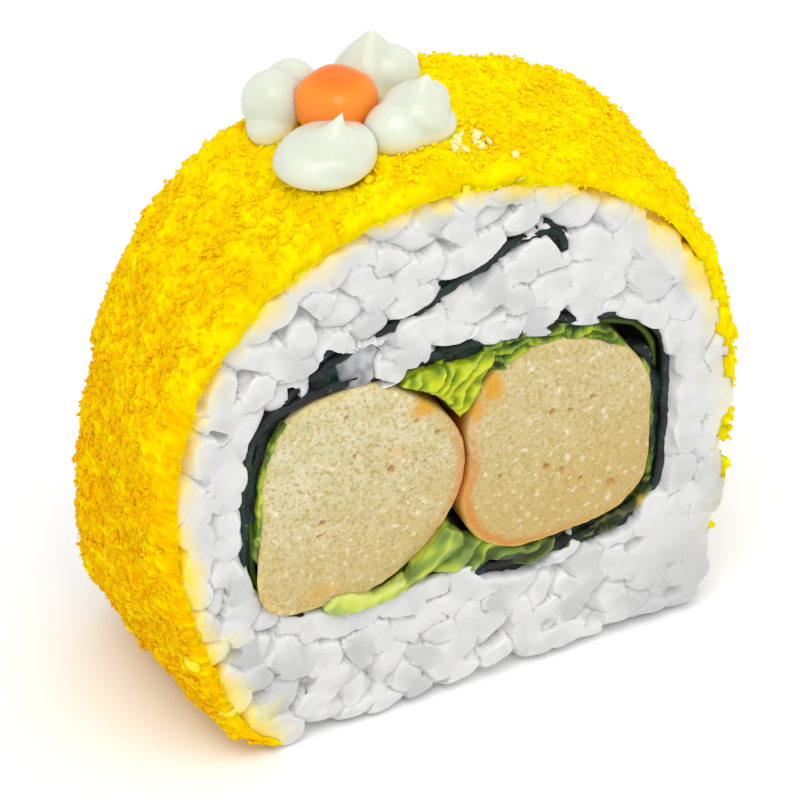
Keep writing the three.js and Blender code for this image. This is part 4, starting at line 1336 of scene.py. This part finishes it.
# The tones hold painted light on the ridges and painted shade beside the nori.
mark(leaf_mesh, "middle tone", np.clip(2 * tone, 0, 1))
mark(leaf_mesh, "bright tone", np.clip(2 * tone - 1, 0, 1))
mark(leaf_mesh, "pale", np.clip(np.concatenate([part[3] for part in leaf_parts]), 0, 1))
yolk_away = np.hypot(leaf_points[:, 0] - YOLK[0], leaf_points[:, 2] - YOLK[1])
yolk_away += 0.3 * bumps(leaf_points, 0.8, 20)
mark(leaf_mesh, "yolk", (1 - eased(yolk_away, 0.7, YOLK[2])) * (leaf_points[:, 1] < 0))

# %% [markdown]
# ## Lettuce: its finish
# A leaf is thin and wet. Its ridges are painted the brightest, as painted light going through
# them, and green scatters the furthest in it. The gloss is kept low, because wide glints would
# look like plastic.

# %% Leaf material
leaf_finish = Finish(
    "lettuce",
    Roughness=0.34,
    IOR=1.4,
    Specular_IOR_Level=0.3,
    Subsurface_Weight=0.35,
    Subsurface_Radius=(0.6, 1.0, 0.2),
    Subsurface_Scale=0.5 * MM,
)
leaf_dark = leaf_finish.blend(leaf_finish.marked("middle tone"), "#232E0A", "#6B8C18")
leaf_body = leaf_finish.blend(leaf_finish.marked("bright tone"), leaf_dark, "#C6CE1A")
leaf_pale = leaf_finish.blend(leaf_finish.marked("pale"), leaf_body, "#D6E39A")
leaf_finish.colour(leaf_finish.blend(leaf_finish.marked("yolk"), leaf_pale, "#EBC92E"))
leaf_finish.relief(leaf_finish.speckle(0.3), 0.06)
show("lettuce_leaf", leaf_mesh, leaf_finish.material, "lettuce", "lettuce")

# %% [markdown]
# ## The coating: crumbs as noise
# The yellow crumb is a layer a millimetre or two thick, pressed onto the rice. Most of its
# crumbs are only bumps on that layer. Voronoi noise gives the distance to the nearest of many
# scattered points, so heaping it up makes packed round crumbs, and stretched it makes flakes.

# %% Heaped cells
def packed(points, size):
    """Heaped Voronoi cells of this size: about 0.5 at a crumb's middle and -0.5 between crumbs."""
    return np.array([0.55 - noise.voronoi(Vector(p))[0][0] for p in points / size]) * 1.3


def flaky(points, length, width):
    """Heaped long cells that lie in three directions, like pressed flakes."""
    layers = []
    for i, along in enumerate([(1.0, 0.2, 0.3), (0.2, 1.0, -0.3), (-0.5, 0.6, 1.0)]):
        axes = turned_along(np.array([along]), np.array([0.7 * i]))[0]
        layers.append(packed(points @ axes / (width, width, length) + 31 * i, 1.0))
    return np.max(layers, axis=0)


print("heaped cells at three places:", packed(np.array([[0.0, 0, 0], [1, 2, 3], [4, 5, 6]]), 1.7).round(2))

# %% [markdown]
# ## The coating: how far it reaches
# The bed has to follow the coating solid. Rays shot inwards from all round measure how far it
# reaches from its axis. A coarse grid of rays is enough, because the bumps come later, and it
# is smoothed, so that no facet of the solid shows.

# %% Reading the coating solid
COARSE_STEPS = 165
COARSE_ROWS = 12
DEEPEST_HIT = 0.65  # a ray that gets further in than this has missed the coating


def outer_reach(turns, shares):
    """How far the coating solid reaches from its axis, for each turn and share."""
    reach = np.full((len(turns), len(shares)), np.nan)
    outside = 60.0
    for i, turn in enumerate(turns):
        for j, share in enumerate(shares):
            start = Vector(at(outside * math.sin(turn), COAT_AXIS + outside * math.cos(turn), share))
            way_in = Vector(at(0.0, COAT_AXIS, share)) - start
            gap = COAT_TREE.ray_cast(start, way_in.normalized())[3]
            if gap is not None and gap < DEEPEST_HIT * way_in.length:
                reach[i, j] = outside * (1 - gap / way_in.length)
    return reach


coarse_turns = np.radians(np.linspace(-135, 111, COARSE_STEPS))
coarse_shares = np.linspace(0.08, 0.92, COARSE_ROWS)
coarse = outer_reach(coarse_turns, coarse_shares)
for column in coarse.T:
    known = ~np.isnan(column)
    column[:] = np.interp(coarse_turns, coarse_turns[known], column[known])
    column[:] = np.convolve(np.pad(column, 3, mode="edge"), np.ones(7) / 7, mode="valid")
print("coating reach from", coarse.min().round(1), "to", coarse.max().round(1), "mm")

# %% [markdown]
# ## The coating: its bed
# The bed is one closed skin round the layer. Each of its loops runs along the outside from the
# near cut face to the far one, and back inside. Towards the cut faces the outside rounds over.
# The grids below hold one number for each corner: its turn, its share of the slice, its
# distance from the axis.

# %% Loops round the layer
COAT_STEPS = 640
COAT_ROWS = 106
COAT_INNER_ROWS = 7
COAT_SHOULDER = 2.0
COAT_THINNEST = 0.9
COAT_TURNS = np.radians(np.linspace(-135.3, 111.5, COAT_STEPS))

outer_shares = np.linspace(0, 1, COAT_ROWS)
inner_shares = np.linspace(1, 0, COAT_INNER_ROWS + 2)[1:-1]
loop_shares = np.concatenate([outer_shares, inner_shares])
turn_grid, share_grid = np.meshgrid(COAT_TURNS, loop_shares, indexing="ij")
is_inner = np.broadcast_to(np.arange(len(loop_shares)) >= COAT_ROWS, turn_grid.shape)
fine_rows = np.array([np.interp(COAT_TURNS, coarse_turns, column) for column in coarse.T])
reach_grid = np.array([np.interp(loop_shares, coarse_shares, across) for across in fine_rows.T])
thickness = np.maximum(1.5 + 0.6 * np.cos(turn_grid) - 0.6 * np.sin(turn_grid), COAT_THINNEST)
end_taper = eased(np.minimum(turn_grid - COAT_TURNS[0], COAT_TURNS[-1] - turn_grid), -0.02, 0.05)
from_cut = np.minimum(share_grid, 1 - share_grid) * SLICE_DEPTH
leaning = np.clip(1 - from_cut / COAT_SHOULDER, 0, 1)
drop = thickness * np.where(is_inner, 1, 1 - np.sqrt(1 - leaning**2))
radius = reach_grid - drop


def coat_places(radius, shares):
    return at(radius * np.sin(turn_grid), COAT_AXIS + radius * np.cos(turn_grid), shares)


def as_grid(values):
    return np.asarray(values).reshape(turn_grid.shape)


flat_places = coat_places(radius, share_grid).reshape(-1, 3)
print("the bed has", len(flat_places), "corners")

# %% [markdown]
# ## The coating: heaps and bare patches
# Now the smooth bed is made rough. Flakes, small crumbs, clumps and broad waves are added up.
# Low on the right the crumb is rubbed off: there crumb stays only where a noise is high
# enough, and elsewhere the bed sinks under the rice. The rim at each cut face is ragged.

# %% Heaps and bare patches
SUNK = 2.0  # how deep the bed lies in the rice where the coating is rubbed off
INNER_SUNK = 2.5
# How bare the rice is at each turn in degrees: crumb stays where noise is above this level.
BARE_LEVELS = ([50, 57, 66, 78, 90, 112], [-1.0, -0.5, -0.22, -0.05, 0.12, 0.3])
BARE_SIZE = 1.7
BED_CLEARANCE = 0.05

bare_level = np.interp(np.degrees(turn_grid), *BARE_LEVELS)
bare_grid = eased(bare_level - as_grid(bumps(flat_places, BARE_SIZE, 31)), -0.16, 0.1)
small_heaps = 0.3 * flaky(flat_places, 1.7, 0.6) + 0.16 * packed(flat_places + 40, 0.5)
clumps = np.clip(packed(flat_places + 90, 1.5), 0, 1) * np.clip(0.5 + bumps(flat_places, 4.0, 34), 0, 1)
waves = 0.8 * bumps(flat_places, 4.2, 9)
heaps = small_heaps + 0.6 * clumps + waves + 0.35 * bumps(flat_places, 1.5, 10)
heaps = as_grid(heaps) * end_taper * np.where(is_inner, 0, 1 - 0.4 * leaning)
ragged = as_grid(0.45 * bumps(flat_places * (1, 0, 1), 1.0, 33)) * eased(from_cut, 2.0, 0.0)
side = np.where(share_grid < 0.5, -1, 1)
pushed_in = 2.0 * bare_grid * leaning
outward = side * ((leaning * heaps + ragged + 0.25 * leaning**3) * (1 - bare_grid) - pushed_in)
inner_sunk = INNER_SUNK * eased(bare_level, -1.0, -0.5)
sunk = np.where(is_inner, inner_sunk, (thickness + SUNK) * bare_grid)
radius = radius + heaps * (1 - 0.6 * leaning) - sunk
bed_grid = coat_places(radius, share_grid + outward / SLICE_DEPTH)
bed_grid[..., 2] = np.maximum(bed_grid[..., 2], BED_CLEARANCE)
print("bare share of the bed:", float(bare_grid.mean().round(3)))

# %% [markdown]
# ## The coating: the bed as a mesh
# The loops are joined into a tube along the layer, and its two ends are closed with fans. The
# hollows between crumbs are marked as deep, most of all on the left, and the finish paints them
# a darker orange there: painted shade where little light reaches them.

# %% The bed as a mesh
bed_points = bed_grid.reshape(-1, 3)
loop = bed_grid.shape[1]
ends = []
for first, flip in ((0, False), ((COAT_STEPS - 1) * loop, True)):
    for i in range(1, loop - 1):
        ends.append((first, first + i + 1, first + i) if flip else (first, first + i, first + i + 1))
bed_faces = np.concatenate([net(COAT_STEPS, loop, wrap=True), np.array(ends)])[:, ::-1]
bed_mesh = mesh_from("crumb_bed", bed_points, bed_faces)
print("the bed has", len(bed_faces), "triangles")
# Painted shade: the hollows, most of all on the left, are marked deep and painted orange.
shaded = (0.25 + 0.9 * eased(-turn_grid, 0.3, 1.5)).ravel()
deep = 1 - eased(small_heaps, -0.15, 0.3) + 0.35 * bumps(bed_points, 2.2, 35)
mark(bed_mesh, "deep", np.clip(deep, 0, 1) * shaded)
# %% [markdown]
# ## The coating: its finish
# The crumb is a clear bright yellow. Light bounces between crumbs many times, and each
# bounce takes out more blue and some green, so hollows turn deeper and more orange. The base
# colour is therefore lighter and more lemon than the look. The hollows and the left side,
# marked deep, are also painted orange: painted shade.

# %% Crumb material
coat_finish = Finish(
    "yellow crumb",
    Roughness=0.75,
    IOR=1.3,
    Specular_IOR_Level=0.06,
    Subsurface_Weight=1.0,
    Subsurface_Radius=(1.0, 0.92, 0.05),
    Subsurface_Scale=0.8 * MM,
)
crumb_body = coat_finish.blend(coat_finish.speckle(4.0, 0.4, 0.6), "#FCD400", "#FFE600")
# Painted shade: where marked deep, the crumb is painted a darker orange.
coat_finish.colour(coat_finish.blend(coat_finish.marked("deep"), crumb_body, "#F6AE00"))
show("crumb_bed", bed_mesh, coat_finish.material, "coating", "coating")

loose_finish = Finish("loose crumb", Roughness=0.8, IOR=1.3, Specular_IOR_Level=0.05)
loose_body = loose_finish.blend(loose_finish.speckle(2.0, 0.4, 0.6), "#FBD400", "#FFE308")
# Painted shade: loose crumbs marked deep are painted a darker orange too.
loose_finish.colour(loose_finish.blend(loose_finish.marked("deep"), loose_body, "#F2B400"))

# %% [markdown]
# ## The coating: loose crumbs
# Loose crumbs and longer flakes stand on the bed and roughen its outline. Each is a small
# uneven chip with only 8 or 20 faces, because there are thousands of them. They gather in
# clumps, as real crumb does, and thin out where the coating is rubbed off.

# %% Chips and their places
def chip(seed, bands, sides, unevenness):
    """An uneven little ball, about 1 across."""
    points, faces = ball(bands, sides)
    chance = np.random.default_rng(seed)
    return points * chance.uniform(1 - unevenness, 1 + unevenness, (len(points), 1)), faces


def scattered(count, chance):
    """Random places on the outer side of the bed, and the way out there."""
    weight = (1 - bare_grid[:, :COAT_ROWS]).ravel() ** 3
    picked = chance.choice(weight.size, count, p=weight / weight.sum())
    row, column = np.divmod(picked, COAT_ROWS)
    out = np.stack([np.sin(COAT_TURNS[row]), np.zeros(count), np.cos(COAT_TURNS[row])], axis=1)
    out[:, 1] += 1.2 * (2 * column / COAT_ROWS - 1) ** 9
    return bed_grid[row, column] + chance.uniform(-0.1, 0.1, (count, 3)), out


print("a small chip has", len(chip(0, 2, 4, 0.25)[1]), "faces")

# %% [markdown]
# ## The coating: coarse, fine and flaky crumbs
# Three kinds are enough to look uneven. Each kind takes its chips from six shapes, and the
# chips lie more or less along the surface, as pressed crumb does. Each kind is one mesh.

# %% Crumbs in clumps
CHIP_SHAPES = 6
CHIP_UNEVENNESS = 0.25
CRUMB_KINDS = {
    # name: (how many, size, how much longer than wide, how far out from the bed, chip, seed)
    "crumbs_coarse": (600, 0.6, 1.3, 0.1, (3, 5), 51),
    "crumbs_fine": (5000, 0.34, 1.3, 0.3, (2, 4), 52),
    "crumbs_flakes": (2600, 0.27, 3.0, 0.15, (3, 5), 53),
}

for name, (count, size, stretch, lift, shape, seed) in CRUMB_KINDS.items():
    chance = np.random.default_rng(seed)
    places, out = scattered(count, chance)
    clumping = np.clip(0.5 + 1.1 * bumps(places, 2.0, 11), 0.1, 1.4)
    centres = places + out * (lift * clumping * chance.uniform(0, 1, count))[:, None]
    centres[:, 2] = np.maximum(centres[:, 2], 0.3)
    sizes = size * chance.uniform(0.55, 1.25, (count, 1)) * chance.uniform(0.75, 1.25, (count, 3))
    sizes[:, 2] *= stretch
    kind = np.arange(count) % CHIP_SHAPES
    along = chance.normal(size=(count, 3))
    along -= 0.8 * (along * out).sum(axis=1, keepdims=True) * out
    turns = turned_along(along, chance.uniform(0, 6, count))
    parts = []
    for i in range(CHIP_SHAPES):
        mine = kind == i
        one_chip = chip(seed + i, *shape, CHIP_UNEVENNESS)
        parts.append(copies(one_chip, centres[mine], turns[mine], sizes[mine]))
    crumb_points, crumb_faces = joined(*parts)
    crumb_points[:, 2] = np.maximum(crumb_points[:, 2], 0.02)
    crumb_mesh = mesh_from(name, crumb_points, crumb_faces)
    # Painted shade: crumbs towards the left side are marked deep, so painted darker orange.
    mark(crumb_mesh, "deep", 0.75 * eased(-crumb_points[:, 0], 6, 24))
    show(name, crumb_mesh, loose_finish.material, "coating")

# %% [markdown]
# ## Pale bits beside the flower
# A few pale crumbs lie beside the flower. They are dropped onto the coating by rays that come
# straight down, and they are larger and rounder than the yellow ones.

# %% Pale bits beside the flower
BITS_COUNT = 18
BITS_PLACE = (2.4, -6.8)
BITS_SPREAD = (1.2, 0.8)
HIGH_ABOVE = 70

chance = np.random.default_rng(61)
bit_x = chance.normal(BITS_PLACE[0], BITS_SPREAD[0], BITS_COUNT)
bit_y = chance.normal(BITS_PLACE[1], BITS_SPREAD[1], BITS_COUNT)
bit_centres = []
for x, y in zip(bit_x, bit_y):
    top = COAT_TREE.ray_cast(Vector((x, y, HIGH_ABOVE)), Vector((0, 0, -1)))[0]
    bit_centres.append((x, y, top.z + 0.1))
bit_sizes = chance.uniform(0.3, 0.75, (BITS_COUNT, 3)) * (1, 1, 1.5)
bit_turns = turned_along(chance.normal(size=(BITS_COUNT, 3)), bit_x)
bit_chip = chip(62, bands=6, sides=8, unevenness=0.15)
bits_mesh = mesh_from("pale_bits", *copies(bit_chip, np.array(bit_centres), bit_turns, bit_sizes))
bits_finish = Finish("pale bits", Roughness=0.6, Specular_IOR_Level=0.2)
bits_finish.colour(bits_finish.blend(bits_finish.speckle(1.0), "#F5EFC8", "#F7E678"))
show("pale_bits", bits_mesh, bits_finish.material, "rice")

# %% [markdown]
# ## The flower of cream
# Thick cream piped from a small nozzle makes soft glossy dollops. Each has a round body that
# sags and leans, and a little tip where the nozzle pulled away. So a dollop is a stack of
# rings, wide below and narrow above, whose centres wander towards the tip. Round lobes are
# added where cream bulged out, and all of it is fused and smoothed. The left dollop has slumped
# and shows no tip, so it is made of lobes alone.

# %% Sizes of the dollops
# An outline gives the share of the full width, from foot to tip.
FULL = [0.25, 0.5, 0.72, 0.87, 0.96, 1.0, 1.0, 0.98, 0.94, 0.85, 0.62, 0.35, 0.2, 0.12, 0.07, 0.02]
TALL = [0.5, 0.8, 0.94, 1.0, 1.0, 1.0, 0.99, 0.97, 0.93, 0.87, 0.77, 0.6, 0.36, 0.19, 0.1, 0.02]
CONE = [0.6, 0.82, 0.95, 1.0, 0.99, 0.96, 0.92, 0.87, 0.81, 0.73, 0.63, 0.52, 0.4, 0.27, 0.14, 0.03]
PIPED = {
    "cream_front": dict(
        foot=(-9.1, -4.8, 50.7), tip=(-7.4, -5.1, 56.7),
        half_width=4.2, half_depth=3.7, outline=FULL, groove=0.05,
    ),
    "cream_right": dict(
        foot=(-1.0, -3.7, 51.2), tip=(0.5, -4.3, 57.6),
        half_width=3.3, half_depth=3.2, outline=TALL, groove=0.14,
    ),
    "cream_back": dict(
        foot=(-1.2, 2.9, 52.0), tip=(-0.5, 3.2, 57.9),
        half_width=3.3, half_depth=3.0, outline=CONE, groove=0.05,
    ),
}
LOBES = {
    # x, y, height, and three widths
    "cream_front": [],
    "cream_right": [(-2.3, -4.6, 53.4, 5.8, 5.0, 4.8), (-0.2, -4.8, 53.2, 5.6, 4.4, 3.6)],
    "cream_left": [
        (-9.4, 2.9, 53.8, 5.2, 5.2, 5.4), (-7.2, 4.2, 54.1, 4.4, 4.4, 4.2),
        (-10.2, 1.8, 52.5, 4.0, 3.6, 3.6),
    ],
    "cream_back": [(0.5, 2.1, 54.1, 5.0, 4.6, 4.6)],
}
print("dollops:", ", ".join(LOBES))

# %% [markdown]
# ## The flower: its finish
# Thick cream is glossy on the outside and lets light in deep, so its shadows stay soft and
# pale. It is a slightly green white, and its foot is painted warmer and yellow: a painted
# reflection of the yellow crumb.

# %% Cream material
cream_finish = Finish(
    "piped cream",
    Roughness=0.14,
    IOR=1.4,
    Specular_IOR_Level=0.4,
    Subsurface_Weight=1.0,
    Subsurface_Radius=(1.0, 1.0, 0.8),
    Subsurface_Scale=1.2 * MM,
)
cream_body = cream_finish.blend(cream_finish.speckle(4.0, 0.3, 0.7), "#D1D6C6", "#DBDFD0")
# Painted reflection: the foot, marked low, is painted yellow for light from the crumb.
cream_finish.colour(cream_finish.blend(cream_finish.marked("low"), cream_body, "#F3EBA8"))
print("the cream's finish has", len(cream_finish.tree.nodes), "nodes")


# %% [markdown]
# ## The flower: its dollops
# The rings of a body shrink to a point at the tip, and a groove winds up the near side where
# the nozzle turned. The tip leans more and more, so the sideways shift grows faster than the
# height. Near its foot the cream is painted yellow: a painted reflection of the crumb.

# %% Dollops
CREAM_VOXEL = 0.15
CREAM_SMOOTHING = 13
LEAN = 1.8
LOBE = ball(20, 28)


def piped_body(foot, tip, half_width, half_depth, outline, groove):
    """A stack of rings from foot to tip, with a groove that winds up its near side."""
    rings, sides = 46, 60
    share = np.linspace(0, 1, rings)[:, None]
    around = np.linspace(0, 2 * math.pi, sides, endpoint=False)[None]
    wide = np.interp(share, np.linspace(0, 1, len(outline)), outline)
    towards = np.radians(-75 - 190 * (share - 0.3))
    dent = np.exp(-((round_turn(around, towards) / 0.3) ** 2))
    dent = dent * eased(share, 0.15, 0.4) * eased(share, 0.9, 0.6)
    wide = wide * (1 - groove * dent + 0.5 * groove * np.cos(2 * (around - towards)))
    foot, tip = np.array(foot), np.array(tip)
    x = foot[0] + (tip - foot)[0] * share**LEAN + half_width * wide * np.cos(around)
    y = foot[1] + (tip - foot)[1] * share**LEAN + half_depth * wide * np.sin(around)
    z = foot[2] + (tip - foot)[2] * share + 0 * around
    points = np.concatenate([np.stack([x, y, z], axis=-1).reshape(-1, 3), [foot, tip]])
    last = (rings - 1) * sides
    ends = [fan(last + sides, 0, sides, flip=True), fan(last + sides + 1, last, sides)]
    return points, np.concatenate([net(rings, sides, wrap=True), *ends])


for node, lobes in LOBES.items():
    parts = [piped_body(**PIPED[node])] if node in PIPED else []
    for x, y, z, *widths in lobes:
        parts.append((LOBE[0] * widths + (x, y, z), LOBE[1]))
    mesh = fused(node + "_piped", parts, CREAM_VOXEL, CREAM_SMOOTHING)
    # Painted reflection: cream near the crumb is marked to be painted yellow.
    mark(mesh, "low", 0.65 * (1 - eased(gap_to_coat(points_of(mesh)), 0.1, 1.6)))
    show(node + "_piped", mesh, cream_finish.material, "cream", node)

# %% [markdown]
# ## The drop of sauce
# A thick drop of orange sauce fills the middle and is squared off by the four dollops. It is
# deepest in colour where it is thickest, so each corner is marked with its distance from
# the middle.

# %% Sauce drop
DROP_MIDDLE = np.array([-5.5, -0.3, 54.5])
DROP_SIZE = (6.0, 5.9, 4.8)
DROP_TURN = math.radians(24)
DROP_BLUNTNESS = 0.7

sauce_finish = Finish(
    "orange sauce",
    Roughness=0.16,
    IOR=1.38,
    Specular_IOR_Level=0.45,
    Subsurface_Weight=0.2,
    Subsurface_Radius=(1.0, 0.4, 0.1),
    Subsurface_Scale=0.6 * MM,
)
sauce_body = sauce_finish.blend(sauce_finish.speckle(3.0, 0.3, 0.7), "#FA720A", "#FC780E")
sauce_finish.colour(sauce_finish.blend(sauce_finish.marked("thin"), sauce_body, "#FF8E2A"))
drop_points, drop_faces = ball(36, 48, lambda value: blunted(value, DROP_BLUNTNESS))
away = np.hypot(drop_points[:, 0], drop_points[:, 1]) * 2
drop_points = drop_points * DROP_SIZE
cos, sin = math.cos(DROP_TURN), math.sin(DROP_TURN)
drop_points[:, :2] = drop_points[:, :2] @ np.array([[cos, sin], [-sin, cos]])
drop_mesh = mesh_from("sauce_glossy", drop_points + DROP_MIDDLE, drop_faces)
mark(drop_mesh, "thin", eased(away, 0.35, 0.95))
show("sauce_glossy", drop_mesh, sauce_finish.material, "sauce", "sauce_drop")

# %% [markdown]
# ## Floor
# The slice lies on a plain pale floor. It is a single square, wide enough that its edges are
# never seen. It is no part of the object.

# %% Floor
FLOOR_HALF = 900
corners = np.array([(-1, -1, 0), (1, -1, 0), (1, 1, 0), (-1, 1, 0)])
floor_mesh = mesh_from("floor", corners * FLOOR_HALF, [(0, 1, 2, 3)])
floor = bpy.data.objects.new("floor", floor_mesh)
bpy.context.collection.objects.link(floor)
floor_finish = Finish("pale floor", Roughness=0.9, Specular_IOR_Level=0.1)
floor_finish.colour(floor_finish.blend(floor_finish.speckle(40.0), "#FAFAFA", "#FBFBFB"))
floor_mesh.materials.append(floor_finish.material)
print("the floor is", 2 * FLOOR_HALF, "mm wide")

# %% [markdown]
# ## Lights
# A bright white studio: the world itself gives most of the light, from all sides, so shadows
# are weak. One broad lamp above adds soft shape, and one small lamp only puts glints on what
# is wet. Both are turned towards the middle of the slice.

# %% Lights
AIM = Vector((0, 0, 0.025))
WORLD_STRENGTH = 0.8


def soft_light(name, place, size, power):
    light = bpy.data.lights.new(name, "AREA")
    light.shape = "DISK"
    light.size = size
    light.energy = power
    lamp = bpy.data.objects.new(name, light)
    bpy.context.collection.objects.link(lamp)
    lamp.location = place
    lamp.rotation_euler = (AIM - Vector(place)).to_track_quat("-Z", "Y").to_euler()
    print(name, "is", size, "m wide")


soft_light("key light", place=(-0.12, -0.38, 0.82), size=0.7, power=3.9)
soft_light("glint", place=(-0.34, -0.34, 0.72), size=0.06, power=0.2)

world = bpy.data.worlds.new("studio")
bpy.context.scene.world = world
world.use_nodes = True
background = world.node_tree.nodes["Background"]
background.inputs["Color"].default_value = (1, 1, 1, 1)
background.inputs["Strength"].default_value = WORLD_STRENGTH

# %% [markdown]
# ## Camera
# The camera stands where the photographer stood: a little to the left, looking down, with a
# long lens, which keeps upright edges nearly parallel. The plain Standard view shows whites as
# white, where a film-like view would turn them grey.

# %% Camera
CAMERA_TURN = math.radians(-28.01)
CAMERA_RISE = math.radians(35.53)
CAMERA_AWAY = 351.0
LOOK_AT = np.array([0.3, 0.0, 23.76])
LENS = 190.9
SENSOR_WIDTH = 36

camera_data = bpy.data.cameras.new("camera")
camera = bpy.data.objects.new("camera", camera_data)
bpy.context.collection.objects.link(camera)
way_back = np.array([
    math.sin(CAMERA_TURN) * math.cos(CAMERA_RISE),
    -math.cos(CAMERA_TURN) * math.cos(CAMERA_RISE),
    math.sin(CAMERA_RISE),
])
camera.location = (LOOK_AT + CAMERA_AWAY * way_back) * MM
camera.rotation_euler = Vector(-way_back).to_track_quat("-Z", "Y").to_euler()
camera_data.lens = LENS
camera_data.sensor_width = SENSOR_WIDTH
bpy.context.scene.camera = camera
bpy.context.scene.view_settings.view_transform = "Standard"
print("the camera is", CAMERA_AWAY, "mm from the slice")
